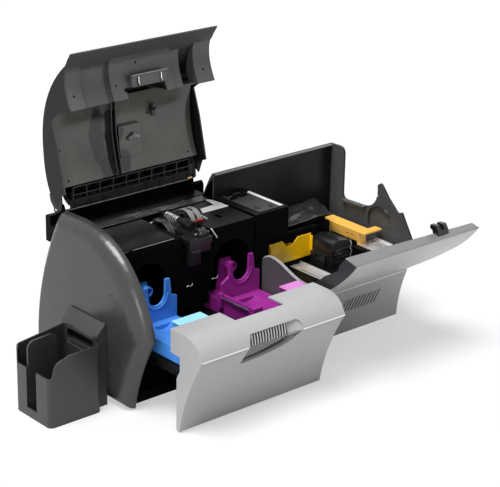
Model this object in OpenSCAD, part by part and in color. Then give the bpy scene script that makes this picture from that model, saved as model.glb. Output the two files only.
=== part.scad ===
// Desktop card printer with its top cover, ribbon drawer and front flap open.
// Sizes are in millimetres. X runs along the front, Y to the back and Z up.
// Pieces are drawn from a bench datum: the end cap's inner face at the foot of the front.

/* [Body] */
// Width of the print module, from the end cap to the partition
print_w = 320; // [316:2:340]
// Width of the feeder module, from the partition to the right side shell
feed_w = 309; // [305:2:329]
// Depth of the footprint
body_d = 261; // [259:1:270]
// Height of the closed body
body_h = 306; // [304:1:310]
// How far the nose leans out past the foot of the front
nose_out = 56; // [52:1:60]
// Height of the nose
nose_z = 145; // [143:1:147]
// Thickness of the left end cap
cap_t = 25; // [22:1:32]
// Depth of the soft rim round the end cap
cap_rim = 16; // [10:1:20]
// Thickness of the right side shell
shell_t = 4; // [3:0.5:6]
// Wall of the moulded skins
wall = 3; // [2.4:0.2:3.4]
// Height of the rubber feet
foot_h = 6; // [5:0.5:7]
// Radius of the rubber feet
foot_r = 11; // [8:1:14]

/* [Drawer] */
// How far the drawer stands open
drawer_open = 114; // [60:1:118]
// Width of the notch in the drawer's top
notch_w = 107; // [80:1:120]
// Number of ribs in the handle pocket
grip_ribs = 10; // [6:1:12]
// Height of the ribbon spools' axis
spool_z = 177; // [175:1:179]
// Radius of the cradle that holds a spool
cradle_r = 18; // [15:1:20]
// Half the width of a ribbon tray
tray_half = 44; // [42:0.5:45]

/* [Top cover] */
// Angle that the cover stands open
cover_open = 96.5; // [0:0.5:97]
// Height of the cover's hinge
cover_hinge_z = 291; // [290:1:292]
// Radius of the cover's hinge pins
cover_pin_r = 3; // [2:0.5:3.5]
// Number of cells along the rib grid
grid_cells = 9; // [6:1:12]
// Thickness of the grid's ribs
grid_rib = 1.6; // [1.2:0.2:2.4]

/* [Front flap] */
// Angle that the flap hangs open
flap_open = 77; // [0:1:78]
// Thickness of the flap at its hinge
flap_t = 12; // [10:0.5:13]
// Radius of the flap's hinge pins
flap_pin_r = 2.5; // [2:0.5:3]
// Number of vents in the lower front panel
vents = 11; // [6:1:12]

/* [Print head] */
// Number of curls in the head spring
spring_curls = 8; // [6:1:9]
// Radius of the spring to the middle of its wire
spring_r = 5.6; // [5.2:0.2:6]
// Diameter of the spring's wire
spring_wire = 1.4; // [1.2:0.1:1.6]

/* [Output hopper] */
// Length of the card hopper, out from the end cap
hopper_l = 129; // [120:1:140]
// Depth of the card hopper
hopper_d = 100; // [96:1:106]
// Height of the hopper's rear wall
hopper_h = 121; // [110:1:126]

/* [Hidden] */
$fn = 48;

full_w = print_w + feed_w;
datum_x = -(full_w + cap_t + shell_t) / 2 + cap_t;
datum_y = -body_d / 2;
gap = 0.4;
run_fit = 0.05;
skin_z = 3;
pan_t = 3;
pan_top = foot_h + pan_t;
plate_t = 2.5;
cover_hinge_y = body_d - 26;
rear_tail = body_d - 261;

// Curves through two or three control points
function bend(a, b, c, n) = [for (i = [0:n]) let (t = i / n)
    (1 - t) * (1 - t) * a + 2 * t * (1 - t) * b + t * t * c];
function sweep(a, b, c, d, n) = [for (i = [0:n]) let (t = i / n, u = 1 - t)
    u * u * u * a + 3 * u * u * t * b + 3 * u * t * t * c + t * t * t * d];
function rest(p) = [for (i = [1:len(p) - 1]) p[i]];
function flip(p) = [for (i = [len(p) - 1:-1:0]) p[i]];
function shift(p, v) = [for (q = p) q + v];
// Each point of a line moved square to it by a distance, to its right hand
function beside(p, d) = [for (i = [0:len(p) - 1])
    let (a = p[max(i - 1, 0)], b = p[min(i + 1, len(p) - 1)], t = (b - a) / norm(b - a))
    p[i] + d * [t[1], -t[0]]];
function band(p, d) = concat(p, flip(beside(p, d)));

// Side profile of the body, as (y, z) points
front_foot = [0, skin_z];
nose = [-nose_out, nose_z];
waist = bend(front_foot, [-12, nose_z / 2], nose, 10);
dome_top = [135, body_h];
dome = sweep(nose, [21 - nose_out, nose_z + 80], [21, body_h], dome_top, 16);
tail_top = [189 + rear_tail, body_h - 2];
tail_foot = [body_d, 54];
tail = sweep(tail_top, [220 + rear_tail, 258], [body_d - 2, 150], tail_foot, 12);
body_side = concat(waist, rest(dome), tail, [[body_d, skin_z]]);
body_mid = [110, 150];

module at_datum() translate([datum_x, datum_y, 0]) children();
// A profile of (y, z) points drawn out along X, or one of (x, z) points along Y
module along_x(x, w) translate([x, 0, 0]) rotate([90, 0, 90]) linear_extrude(w) children();
module along_y(y, d) translate([0, y + d, 0]) rotate([90, 0, 0]) linear_extrude(d) children();
module block(x, y, z) translate([x[0], y[0], z[0]])
    cube([x[1] - x[0], y[1] - y[0], z[1] - z[0]]);
module rod_x(x, y, z, r) translate([x[0], y, z]) rotate([0, 90, 0]) cylinder(h = x[1] - x[0], r = r);
module rod_y(x, y, z, r) translate([x, y[0], z]) rotate([-90, 0, 0]) cylinder(h = y[1] - y[0], r = r);
module rod_z(x, y, z, r) translate([x, y, z[0]]) cylinder(h = z[1] - z[0], r = r);
module rounded(w, h, r) hull() for (x = [r, w - r], y = [r, h - r]) translate([x, y]) circle(r);

// The right side draws in towards the back, as (x, y) points, and towards the foot, as (x, z) points
side_x = full_w + shell_t;
side_draw = 21;
side_lean = 9;
side_plan = bend([side_x, -30], [side_x, 60], [side_x - side_draw, body_d + 1], 14);
side_rise = bend([side_x - side_lean, 0], [side_x - 7, 50], [side_x, 104], 8);
module side_form(inset, z) intersection() {
    translate([0, 0, z[0]]) linear_extrude(z[1] - z[0])
        polygon(concat([[-1, body_d + 1], [-1, -30]], shift(side_plan, [-inset, 0])));
    along_y(-31, body_d + 33) polygon(concat([[-2, -2]], shift(side_rise, [-inset, 0]),
        [[side_x - inset, z[1] + 1], [-2, z[1] + 1]]));
}

// Base and feet
module base_pan() color([0.16, 0.16, 0.17]) at_datum() intersection() {
    side_form(shell_t + gap, [0, pan_top + 20]);
    pan_tray();
}
module pan_tray() {
    block([plate_t, full_w], [8, body_d - wall - 2], [foot_h, pan_top]);
    block([plate_t, full_w], [8, 8 + plate_t], [pan_top, pan_top + 14]);
}
foot_inset = 38;
module rubber_feet() color([0.1, 0.1, 0.1]) {
    reach = [full_w / 2 - foot_inset, body_d / 2 - foot_inset];
    for (p = [[0, 0], [1, 1], [1, -1], [-1, 1], [-1, -1]])
        translate([p[0] * reach[0], p[1] * reach[1], 0])
            rotate_extrude() polygon([[0, 0], [foot_r - 1, 0], [foot_r, 1], [foot_r, foot_h], [0, foot_h]]);
}

// The left end cap is a moulded shell whose rim is drawn in on a soft quarter round
function drawn_in(p, d) = [for (q = p) q + d * (body_mid - q) / norm(body_mid - q)];
rim_steps = 5;
module left_end_cap() color([0.27, 0.28, 0.29]) at_datum() {
    angles = [for (i = [0:rim_steps]) 90 * i / rim_steps];
    rings = concat([[0, body_side]], [for (a = angles)
        [-(cap_t - cap_rim) - cap_rim * sin(a), drawn_in(body_side, cap_rim * (1 - cos(a)))]]);
    n = len(body_side);
    last = len(rings) - 1;
    difference() {
        polyhedron(
            points = [for (r = rings) for (q = r[1]) [r[0], q[0], q[1]]],
            faces = concat(
                [[for (i = [n - 1:-1:0]) i]],
                [for (k = [0:last - 1], i = [0:n - 1]) let (j = (i + 1) % n)
                    each [[k * n + i, k * n + j, (k + 1) * n + j],
                        [k * n + i, (k + 1) * n + j, (k + 1) * n + i]]],
                [[for (i = [0:n - 1]) last * n + i]]));
        along_x(-cap_t + wall, cap_t) polygon(drawn_in(body_side, cap_rim + 6));
        rod_x([-cap_t - 1, 1 - cap_t], disc_at[0], disc_at[1], disc_r + run_fit);
        along_x(-cap_t - 1, cap_t) card_slot_shape(0);
    }
}
disc_at = [29, 193];
disc_r = 13;
module cap_disc() color([0.3, 0.31, 0.32]) at_datum()
    rod_x([-cap_t - 0.6, 1 - cap_t], disc_at[0], disc_at[1], disc_r);
slot_y = [52, 138];
slot_z = [104, 122];
module card_slot_shape(e) translate([slot_y[0] - e, slot_z[0] - e])
    square([slot_y[1] - slot_y[0] + 2 * e, slot_z[1] - slot_z[0] + 2 * e]);

module left_inner_plate() color([0.1, 0.1, 0.1]) at_datum() along_x(0, plate_t) difference() {
    polygon(concat([[12, pan_top], [12, 150]],
        [for (q = sweep([12, 186], [30, 246], [60, 276], [130, 284], 8)) q],
        [[186 + rear_tail, 284]], [for (q = tail) if (q[1] < 272) q - [wall + 1, 0]],
        [[body_d - wall - 1, pan_top]]));
    card_slot_shape(0);
}

// Rear of the print module and the block that carries the cover's hinge
hinge_floor = 229;
hinge_top = 260;
hinge_y = [205 + rear_tail, body_d - 3];
module rear_shell() color([0.2, 0.2, 0.21]) at_datum() difference() {
    along_x(plate_t, print_w - plate_t - 1.5) intersection() {
        polygon(band(concat(tail, [[body_d, foot_h]]), wall));
        translate([0, pan_top]) square([body_d + 1, hinge_floor - pan_top]);
    }
    for (i = [0:7]) block([40 + 12 * i, 46 + 12 * i], [body_d - 30, body_d + 1], [150, 190]);
    along_y(body_d - 12, 14) inlet_holes();
}
ear_t = 7;
arm_x = [9, print_w - 18];
hinge_clear = 9;
hinge_rim = cover_hinge_z - 13;
module ear_at(x) along_x(x, ear_t) difference() {
    hull() {
        translate([cover_hinge_y, cover_hinge_z]) circle(7.5);
        translate([cover_hinge_y - 12, hinge_top - 2]) square([24, 2]);
    }
    translate([cover_hinge_y, cover_hinge_z]) circle(cover_pin_r + run_fit);
}
module hinge_block() color([0.15, 0.15, 0.16]) at_datum() {
    along_x(plate_t, print_w - plate_t - 1.5) polygon(concat(
        [[hinge_y[0], hinge_floor], [hinge_y[0], hinge_top], [cover_hinge_y + hinge_clear, hinge_top],
            [cover_hinge_y + hinge_clear, hinge_rim]],
        bend([hinge_y[1] - 6, hinge_rim], [hinge_y[1], hinge_rim], [hinge_y[1], hinge_rim - 6], 5),
        [[hinge_y[1], hinge_floor]]));
    ear_at(arm_x[0] + ear_t + gap);
    ear_at(arm_x[1] - gap);
}
module cover_hinge_pins() color([0.7, 0.7, 0.72]) at_datum() {
    rod_x([arm_x[0], arm_x[0] + 2 * ear_t + gap], cover_hinge_y, cover_hinge_z, cover_pin_r);
    rod_x([arm_x[1] - gap, arm_x[1] + 2 * ear_t], cover_hinge_y, cover_hinge_z, cover_pin_r);
}

// Wall between the two modules
bay_y = [62, 178];
bay_top = 258;
module partition() color([0.1, 0.1, 0.1]) at_datum() along_x(print_w - 1.5, 3) difference() {
    polygon([[12, pan_top], [12, 104], [bay_y[0], 116], [bay_y[0], bay_top - 8],
        [bay_y[1] + 2, bay_top - 8],
        [bay_y[1] + 2, 212], [226 + rear_tail, 212], [body_d - 12, 120], [body_d - 8, pan_top]]);
    translate([96, 128]) square([60, 10]);
}

// Two arched bays take the ribbon rolls when the drawer is shut
spool_x = [74, 262];
arch_r = 42;
arch_rise = 8;
tray_gap = 3;
housing_x = [20, 313];
housing_foot = 120;
arm_bay = [150, 214];
module bay_shape(x) {
    translate([x, spool_z + arch_rise]) circle(arch_r);
    translate([x - arch_r, spool_z - 10]) square([2 * arch_r, arch_rise + 10]);
    translate([x - tray_half - tray_gap, housing_foot - 10])
        square([2 * (tray_half + tray_gap), spool_z - 6 - housing_foot + 10]);
}
module ribbon_housing() color([0.09, 0.09, 0.09]) at_datum() difference() {
    union() {
        along_y(bay_y[0], wall + 1) difference() {
            translate([housing_x[0], housing_foot])
                square([housing_x[1] - housing_x[0], bay_top - housing_foot]);
            for (x = spool_x) bay_shape(x);
        }
        block(housing_x, [bay_y[0], bay_y[1]], [bay_top - wall, bay_top]);
        for (x = [housing_x[0], housing_x[1] - wall])
            block([x, x + wall], [bay_y[0], 216], [pan_top, housing_foot + 1]);
        for (x = [housing_x[0], housing_x[1] - wall])
            block([x, x + wall], bay_y, [housing_foot, bay_top]);
        for (x = [spool_x[0] + tray_half + tray_gap, spool_x[1] - tray_half - tray_gap - wall])
            block([x, x + wall], bay_y, [housing_foot, bay_top]);
        block([arm_bay[0] - wall, arm_bay[1] + wall], bay_y, [arm_bay_z - wall, bay_top]);
    }
    block(arm_bay, [bay_y[0] - 1, bay_y[1] + 1], [arm_bay_z, bay_top + 1]);
    block([262, 270], [96, 112], [bay_top - wall - 1, bay_top + 1]);
    block([rod_at[0] - 5, rod_at[0] + 18], [bay_y[0] - 1, bay_y[1] + 1],
        [housing_foot - 1, tray_floor + 20]);
    rod_x([arm_bay[0] - wall - 1, arm_bay[1] + wall + 1], arm_axis[0], arm_axis[1], 3);
}
arm_bay_z = 236;
arm_axis = [bay_y[1] - 8, 248];
module shelf_plate() color([0.24, 0.25, 0.26]) at_datum() {
    block([36, 138], [bay_y[0] - 1.5, 106], [bay_top, bay_top + 1.5]);
    block([36, 138], [bay_y[0] - 1.5, bay_y[0]], [bay_top - 9, bay_top]);
}

// The drawer runs on a rail in a channel at each side
rail_z = [83, 103.6];
rail_y = [-88, 100];
channel_t = 1.5;
function mirror_x(x) = housing_x[0] + housing_x[1] - x;
module both_sides() {
    children();
    translate([housing_x[0] + housing_x[1], 0, 0]) mirror([1, 0, 0]) children();
}
channel_x = housing_x[0] + wall;
module slide_channels() color([0.62, 0.63, 0.65]) at_datum() both_sides()
    along_y(bay_y[0] + 5, 150) polygon([[channel_x, rail_z[0]], [channel_x + 8, rail_z[0]],
        [channel_x + 8, rail_z[0] + channel_t], [channel_x + channel_t, rail_z[0] + channel_t],
        [channel_x + channel_t, rail_z[1] - channel_t], [channel_x + 8, rail_z[1] - channel_t],
        [channel_x + 8, rail_z[1]], [channel_x, rail_z[1]]]);

// Lower front panel of the feeder, with raked vents
panel_top = 101;
panel_line = bend([0, foot_h + 1], [-1, 58], [-15, panel_top], 10);
flap_axis = [-13, 109];
ear_left = print_w + 3;
flap_ear = 6;
module vent_cut(x) along_y(-40, 60) polygon([[x, 50], [x + 3.6, 50], [x + 13.6, 76], [x + 10, 76]]);
module flap_ear_at(x) along_x(x, flap_ear) difference() {
    union() {
        translate(flap_axis) circle(5.6);
        polygon([[flap_axis[0] - 2, panel_top - 12], [flap_axis[0] + 5.6, panel_top - 12],
            [flap_axis[0] + 5.6, flap_axis[1]], [flap_axis[0] - 2, flap_axis[1]]]);
    }
    translate(flap_axis) circle(flap_pin_r + run_fit);
}
module front_panel() color([0.66, 0.67, 0.68]) at_datum() {
    difference() {
        intersection() {
            along_x(print_w + 1.5, side_x) polygon(band(panel_line, wall - gap / 2));
            side_form(0, [-1, body_h]);
        }
        for (i = [0:vents - 1]) vent_cut(print_w + 152 + 8.4 * i);
    }
    flap_ear_at(ear_left);
}

// One moulding makes the feeder's rear wall and its right side
inner_rear = 184;
rear_top = body_h - 3;
ledge_z = 200;
upright_y = 152;
ledge_in = 8;
side_line = concat(shift(panel_line, [wall, 0]), [[-9, 104], [-18.5, 106], [-25, 165], [-10, 189],
    [2.6, 210.5],
    [14, 207.5], [37.5, 230], [55, 252], [59, 254], [65, 250]],
    sweep([66, 246], [63, 224], [70, ledge_z + 3], [96, ledge_z], 7),
    bend([upright_y - 12, ledge_z], [upright_y, ledge_z], [upright_y, ledge_z + 12], 5),
    bend([upright_y, rear_top - 16], [upright_y, rear_top], [upright_y + 14, rear_top], 6),
    [tail_top - [0, 1]], rest(tail), [[body_d, foot_h + 1]]);
module body_shell() color([0.2, 0.205, 0.215]) at_datum() {
    difference() {
        union() {
            difference() {
                intersection() {
                    along_x(full_w - side_draw - 12, side_draw + shell_t + 13) polygon(side_line);
                    side_form(0, [-1, body_h]);
                }
                side_form(shell_t, [-2, body_h + 1]);
            }
            difference() {
                intersection() {
                    side_form(shell_t / 2, [-1, body_h]);
                    block([full_w - 50, side_x], [92, upright_y - 3], [ledge_z - 3, ledge_z]);
                }
                side_form(shell_t + ledge_in, [-2, body_h + 1]);
            }
        }
        for (y = [[99, 112], [116, 140]]) difference() {
            intersection() {
                side_form(shell_t + 2, [ledge_z - 4, ledge_z + 1]);
                block([full_w - 50, side_x], y, [ledge_z - 5, ledge_z + 2]);
            }
            side_form(shell_t + 5, [ledge_z - 6, ledge_z + 3]);
        }
        rod_x([full_w - 20, side_x + 1], 66, 228, 2.2);
        rod_x([full_w - 20, side_x + 1], 30, 180, 2.2);
        rod_x([full_w - 1, full_w + 2.5], flap_axis[0], flap_axis[1], flap_pin_r);
    }
    difference() {
        intersection() {
            side_form(shell_t / 2, [-1, body_h]);
            along_x(print_w + 1.5, feed_w) polygon(concat([[inner_rear, 104]],
                bend([inner_rear, rear_top - 4], [inner_rear, rear_top], [inner_rear + 4, rear_top], 4),
                [tail_top - [0, 1]], [for (q = rest(tail)) q], [[body_d, foot_h + 1],
                    [body_d - wall, foot_h + 1]],
                flip([for (q = tail) if (q[1] < rear_top - 12) q - [wall, 0]]),
                [[inner_rear + wall, rear_top - 8], [inner_rear + wall, 104]]));
        }
        along_y(body_d - 30, 40) for (i = [0:9]) translate([print_w + 40 + 12 * i, 60]) square([6, 44]);
    }
}

// Feeder deck, its plated rails and the card wall
deck_z = 124;
deck_t = 10;
roller_x = [print_w + 50, print_w + 142.5];
roller_y = [24, 88];
roller_z = deck_z - 5;
roller_r = 7;
wall_y = 92;
lever_axis = [152, 162];
lever_x = [full_w - 57, full_w - 29];
lever_post = 4;
module deck_plates() {
    block([print_w + 1.5, full_w], [8, inner_rear], [deck_z - deck_t, deck_z]);
    block([full_w - 72, full_w], [8, 62], [deck_z, deck_z + 20]);
    for (y = [20, 150]) block([print_w + 1.5, full_w], [y, y + wall], [pan_top, deck_z - deck_t]);
    for (x = [lever_x[0] - gap - lever_post, lever_x[1] + gap]) along_x(x, lever_post) {
        translate(lever_axis) circle(6);
        polygon([[lever_axis[0] - 9, deck_z - 1], [lever_axis[0] + 9, deck_z - 1],
            [lever_axis[0] + 6, lever_axis[1]], [lever_axis[0] - 6, lever_axis[1]]]);
    }
}
module feeder_deck() color([0.1, 0.1, 0.1]) at_datum() difference() {
    intersection() {
        side_form(shell_t + gap, [0, body_h]);
        deck_plates();
    }
    for (x = roller_x) {
        block([x - roller_r - 1, x + roller_r + 1], roller_y, [deck_z - deck_t - 1, deck_z + 1]);
        rod_y(x, [roller_y[0] - 8, roller_y[1] + 8], roller_z, 3 + run_fit);
    }
    block([full_w - 108, full_w - 80], [8, 34], [deck_z - 6, deck_z + 1]);
    rod_x([lever_x[0] - 9, lever_x[1] + 9], lever_axis[0], lever_axis[1], 3 + run_fit);
}
module slotted_plate(x, y, z, slots) difference() {
    union() {
        block(x, y, [z, z + 1.5]);
        block([x[1] - 1.5, x[1]], y, [z + 1.5, z + 6]);
    }
    for (s = slots) translate([s[0], s[1], z - 1]) linear_extrude(4) rounded(s[2], s[3], 1.4);
}
module rail_plate_left() color([0.7, 0.71, 0.72]) at_datum()
    slotted_plate([print_w + 110, print_w + 136], [8, wall_y], deck_z, [[print_w + 114, 16, 3, 52]]);
module rail_plate_right() color([0.7, 0.71, 0.72]) at_datum()
    slotted_plate([full_w - 60, full_w - 14], [9, 58], deck_z + 20,
        [[full_w - 36, 14, 3, 26], [full_w - 50, 40, 8, 3]]);
card_wall_x = [print_w + 26, print_w + 176];
guide_x = [print_w + 56, print_w + 160];
guide_z = [136, 180];
module card_wall() color([0.12, 0.12, 0.12]) at_datum() difference() {
    union() {
        block(card_wall_x, [wall_y, wall_y + wall], [deck_z, 192]);
        block(card_wall_x, [wall_y, wall_y + 8], [188, 192]);
    }
    block([guide_x[0] + 4, guide_x[1] - 4], [wall_y - 1, wall_y + wall + 1],
        [guide_z[0] + 4, guide_z[1] - 8]);
}
// Amber card guide with a notch pressed back into the wall
module card_guide() color([0.93, 0.62, 0.05]) at_datum() difference() {
    union() {
        block(guide_x, [wall_y - 2, wall_y], guide_z);
        for (x = [guide_x[0], guide_x[1] - 2]) block([x, x + 2], [wall_y - 7, wall_y], [guide_z[0],
            guide_z[1] - 4]);
        translate([0, 0, guide_z[0] + 5]) linear_extrude(guide_z[1] - guide_z[0] - 18)
            polygon([[guide_x[0] + 34, wall_y - 2], [guide_x[0] + 42, wall_y + 14],
                [guide_x[0] + 58, wall_y + 14],
                [guide_x[0] + 70, wall_y - 2], [guide_x[0] + 67, wall_y - 2],
                    [guide_x[0] + 57, wall_y + 12],
                [guide_x[0] + 43, wall_y + 12], [guide_x[0] + 37, wall_y - 2]]);
    }
    along_y(wall_y - 12, 16) polygon([[guide_x[0] + 32, guide_z[1] + 1], [guide_x[0] + 44, guide_z[1] - 13],
        [guide_x[0] + 57, guide_z[1] - 13], [guide_x[0] + 72, guide_z[1] + 1]]);
}
module feed_block() color([0.14, 0.14, 0.14]) at_datum() difference() {
    union() {
        block([print_w + 82, print_w + 226], [wall_y + 18, inner_rear], [deck_z, 184]);
        block([print_w + 88, print_w + 220], [wall_y + 24, inner_rear], [184, 198]);
    }
    for (i = [0:5]) block([print_w + 98 + 20 * i, print_w + 108 + 20 * i],
        [wall_y + 40, inner_rear - 20], [194, 199]);
}
box_x = [print_w + 1.5, print_w + 80];
module transfer_box() color([0.11, 0.11, 0.115]) at_datum() difference() {
    union() {
        block(box_x, [66, 70], [deck_z, bay_top]);
        block([box_x[1] - wall, box_x[1]], [70, inner_rear], [deck_z, bay_top]);
        block(box_x, [70, inner_rear], [bay_top - wall, bay_top]);
    }
    block([box_x[0] + 24, box_x[1] + 1], [65, wall_y + 9], [deck_z - 1, 204]);
    along_x(box_x[1] - 5, 8) translate([90, 206]) rounded(60, 34, 6);
}
module bracket_plate() color([0.5, 0.5, 0.51]) at_datum() difference() {
    translate([0, 0, bay_top]) linear_extrude(1.5)
        polygon([[print_w + 14, 72], [print_w + 64, 72], [print_w + 64, 176], [print_w + 14, 176]]);
    for (y = [88, 132]) rod_z(print_w + 28 + (y - 88) * 0.5, y, [bay_top - 1, bay_top + 3], 3);
}
module flat_cable() color([0.92, 0.92, 0.92]) at_datum()
    block([print_w + 67, print_w + 75], [76, 170], [bay_top, bay_top + 0.8]);

// The encoder with its spindle boss stands on the deck
module encoder_block() color([0.08, 0.08, 0.08]) at_datum() difference() {
    union() {
        along_y(36, 54) polygon(concat([[print_w + 160, deck_z], [print_w + 160, 162]],
            bend([print_w + 166, 172], [print_w + 172, 176], [print_w + 184, 176], 4),
            [[print_w + 206, 172], [print_w + 214, 160], [print_w + 214, deck_z]]));
        rod_x([print_w + 214, print_w + 222], 62, 152, 13);
        block([print_w + 151, print_w + 161], [44, 82], [deck_z, 150]);
    }
    for (z = [134, 146]) block([print_w + 166, print_w + 208], [35, 42], [z, z + 7]);
    rod_x([print_w + 216, print_w + 224], 62, 152, 9);
}

// Rear connections
inlet_at = [36, 36];
module inlet_holes() {
    translate(inlet_at) square([50, 28]);
    translate([inlet_at[0] + 62, inlet_at[1]]) square([22, 28]);
    translate([inlet_at[0] + 110, inlet_at[1]]) square([42, 18]);
}
rear_in = body_d - wall;
module power_inlet() color([0.06, 0.06, 0.06]) at_datum() difference() {
    union() {
        block([inlet_at[0], inlet_at[0] + 50], [rear_in - 22, body_d - 0.4], [inlet_at[1],
            inlet_at[1] + 28]);
        block([inlet_at[0] - 3, inlet_at[0] + 53], [rear_in - 3.8, rear_in - 0.8],
            [inlet_at[1] - 3, inlet_at[1] + 31]);
    }
    block([inlet_at[0] + 11, inlet_at[0] + 39], [body_d - 17, body_d + 1],
        [inlet_at[1] + 5, inlet_at[1] + 23]);
}
module data_ports() color([0.55, 0.56, 0.58]) at_datum() difference() {
    block([inlet_at[0] + 110, inlet_at[0] + 152], [rear_in - 18, body_d - 0.4], [inlet_at[1],
        inlet_at[1] + 18]);
    block([inlet_at[0] + 113, inlet_at[0] + 127], [body_d - 14, body_d + 1],
        [inlet_at[1] + 3, inlet_at[1] + 15]);
    block([inlet_at[0] + 132, inlet_at[0] + 149], [body_d - 14, body_d + 1],
        [inlet_at[1] + 3, inlet_at[1] + 15]);
}
rocker_at = [rear_in - 4, inlet_at[1] + 14];
rocker_tilt = 8;
module power_rocker() color([0.05, 0.05, 0.05]) at_datum() along_x(inlet_at[0] + 63, 20)
    translate(rocker_at) rotate(rocker_tilt) intersection() {
        circle(11.5);
        translate([-2, -12]) square([12, 24]);
    }

// Inside the base
module main_board() color([0.1, 0.35, 0.18]) at_datum() {
    block([print_w + 30, full_w - 30], [40, 140], [pan_top + 6, pan_top + 8]);
    for (x = [print_w + 44, full_w - 44], y = [50, 130]) rod_z(x, y, [pan_top, pan_top + 6], 4);
    for (i = [0:3]) block([print_w + 60 + 52 * i, print_w + 90 + 52 * i], [70, 100],
        [pan_top + 8, pan_top + 13]);
}
module power_supply() color([0.6, 0.6, 0.62]) at_datum() block([34, 180], [body_d - 111, body_d - 35],
    [pan_top, 74]);
module drive_motor() color([0.3, 0.3, 0.32]) at_datum() {
    block([print_w + 96, print_w + 138], [104, 146], [pan_top + 50, deck_z - deck_t]);
    rod_z(print_w + 117, 125, [pan_top + 44, pan_top + 50], 11);
}
module feed_roller(x) at_datum() {
    rod_y(x, [roller_y[0] + 2, roller_y[1] - 2], roller_z, roller_r);
    rod_y(x, [roller_y[0] - 7.5, roller_y[1] + 7.5], roller_z, 3);
}
module feed_roller_left() color([0.18, 0.18, 0.2]) feed_roller(roller_x[0]);
module feed_roller_right() color([0.18, 0.18, 0.2]) feed_roller(roller_x[1]);

// Drawer, drawn shut and pulled out
module drawn_out() translate([0, -drawer_open, 0]) children();
drawer_x = [3.2, print_w - 2];
drawer_top = 181;
drawer_back = 24;
ledge = 2;
brow = sweep(nose + [-ledge, 1], [3.5 - nose_out, nose_z + 21], [18 - nose_out, drawer_top],
    [-10, drawer_top], 10);
drawer_line = concat([for (q = waist) q - [0.5, 0]], brow, [[drawer_back, drawer_top]]);
notch_x = [107, 107 + notch_w];
grip_x = [100, 222];
grip_low = 112;
grip_high = nose_z + 20;
module grip_shape(e) offset(delta = e) polygon(concat(
    [[grip_x[0], grip_low + 2], [grip_x[0] + 6, grip_high - 12], [grip_x[0] + 12, grip_high]],
    bend([grip_x[1] - 10, grip_high], [grip_x[1] + 2, grip_high - 4], [grip_x[1], grip_high - 20], 5),
    rest(sweep([grip_x[1], grip_high - 20], [grip_x[1] - 14, grip_low + 8], [grip_x[0] + 60, grip_low],
        [grip_x[0], grip_low], 9))));
module drawer_front() color([0.66, 0.67, 0.68]) at_datum() drawn_out() difference() {
    union() {
        along_x(drawer_x[0], drawer_x[1] - drawer_x[0]) polygon(band(drawer_line, wall));
        along_x(drawer_x[0], wall) polygon(concat([for (q = drawer_line) q],
            [[drawer_back, 139], [0, 137], [0, 112], [8, 97], [8, skin_z]]));
        along_x(drawer_x[1] - 1.6, 1.6) polygon(concat(drawer_line, [[drawer_back, 139], [0, 137],
            [0, 112], [8, 97], [8, skin_z]]));
        along_x(drawer_x[1] - 1.6, 1.6) polygon(cheek_line);
        block([drawer_x[0] + wall, drawer_x[1] - 1.6], [-2, 8], [skin_z + 22, skin_z + 25]);
    }
    block(notch_x, [-16, drawer_back + 1], [drawer_top - wall - 1, drawer_top + 1]);
    along_y(-80, 68) grip_shape(0);
}
grip_line = [for (q = drawer_line) if (q[1] > 104 && q[1] < 176 && q != brow[0]) q];
module grip_slab(a, b) along_x(grip_x[0] - 4, grip_x[1] - grip_x[0] + 8)
    polygon(concat(shift(grip_line, [a, 0]), flip(shift(grip_line, [b, 0]))));
module handle_grille() color([0.42, 0.43, 0.44]) at_datum() drawn_out() {
    difference() {
        intersection() {
            grip_slab(2, 16);
            along_y(-80, 68) difference() {
                grip_shape(3);
                grip_shape(0);
            }
        }
        along_x(grip_x[0] - 8, grip_x[1] - grip_x[0] + 16) polygon(band(drawer_line, wall));
    }
    intersection() {
        grip_slab(13.5, 16);
        along_y(-80, 68) grip_shape(1);
    }
    intersection() {
        grip_slab(8, 14);
        along_y(-80, 68) grip_shape(1);
        for (i = [0:grip_ribs - 1])
            along_y(-80, 80) translate([grip_x[0] + 10 + (grip_x[1] - grip_x[0] - 20) * i / (grip_ribs
                - 1), grip_low - 5])
                polygon([[0, 0], [3, 0], [9, grip_high - grip_low + 10], [6, grip_high - grip_low + 10]]);
    }
}
frame_z = [100, 104];
frame_x = [32, mirror_x(32)];
module drawer_frame() color([0.1, 0.1, 0.1]) at_datum() drawn_out() {
    block(frame_x, [20, 214], frame_z);
    block([drawer_x[0] + wall, drawer_x[1] - wall], [8, 20], frame_z);
    block([drawer_x[0] + wall, drawer_x[1] - wall], [8, 10], [skin_z + 20, frame_z[0]]);
    block([spool_x[0] + tray_half + 6, spool_x[1] - tray_half - 10], [20, 120], [frame_z[1],
        frame_z[1] + 12]);
}
module drawer_rails() color([0.75, 0.76, 0.78]) at_datum() both_sides()
    block([channel_x + 2, frame_x[0]], rail_y, [rail_z[0] + 2, rail_z[1] - 2]);
cheek_line = concat(sweep([drawer_back, 176], [60, 166], [88, 190], [118, 196], 6),
    rest(bend([118, 196], [140, 200], [153, 187], 4)), [[153, 122], [138, 112], [0, 112], [0, 137],
        [drawer_back, 139]]);
function beside_top(p) = [for (q = p) [q[0], q[1] > 150 ? q[1] - 2 : q[1]]];
module drawer_cheek() color([0.4, 0.4, 0.41]) at_datum() drawn_out()
    along_x(drawer_x[1] - 4.2, 2.6) polygon(beside_top(cheek_line));

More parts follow.
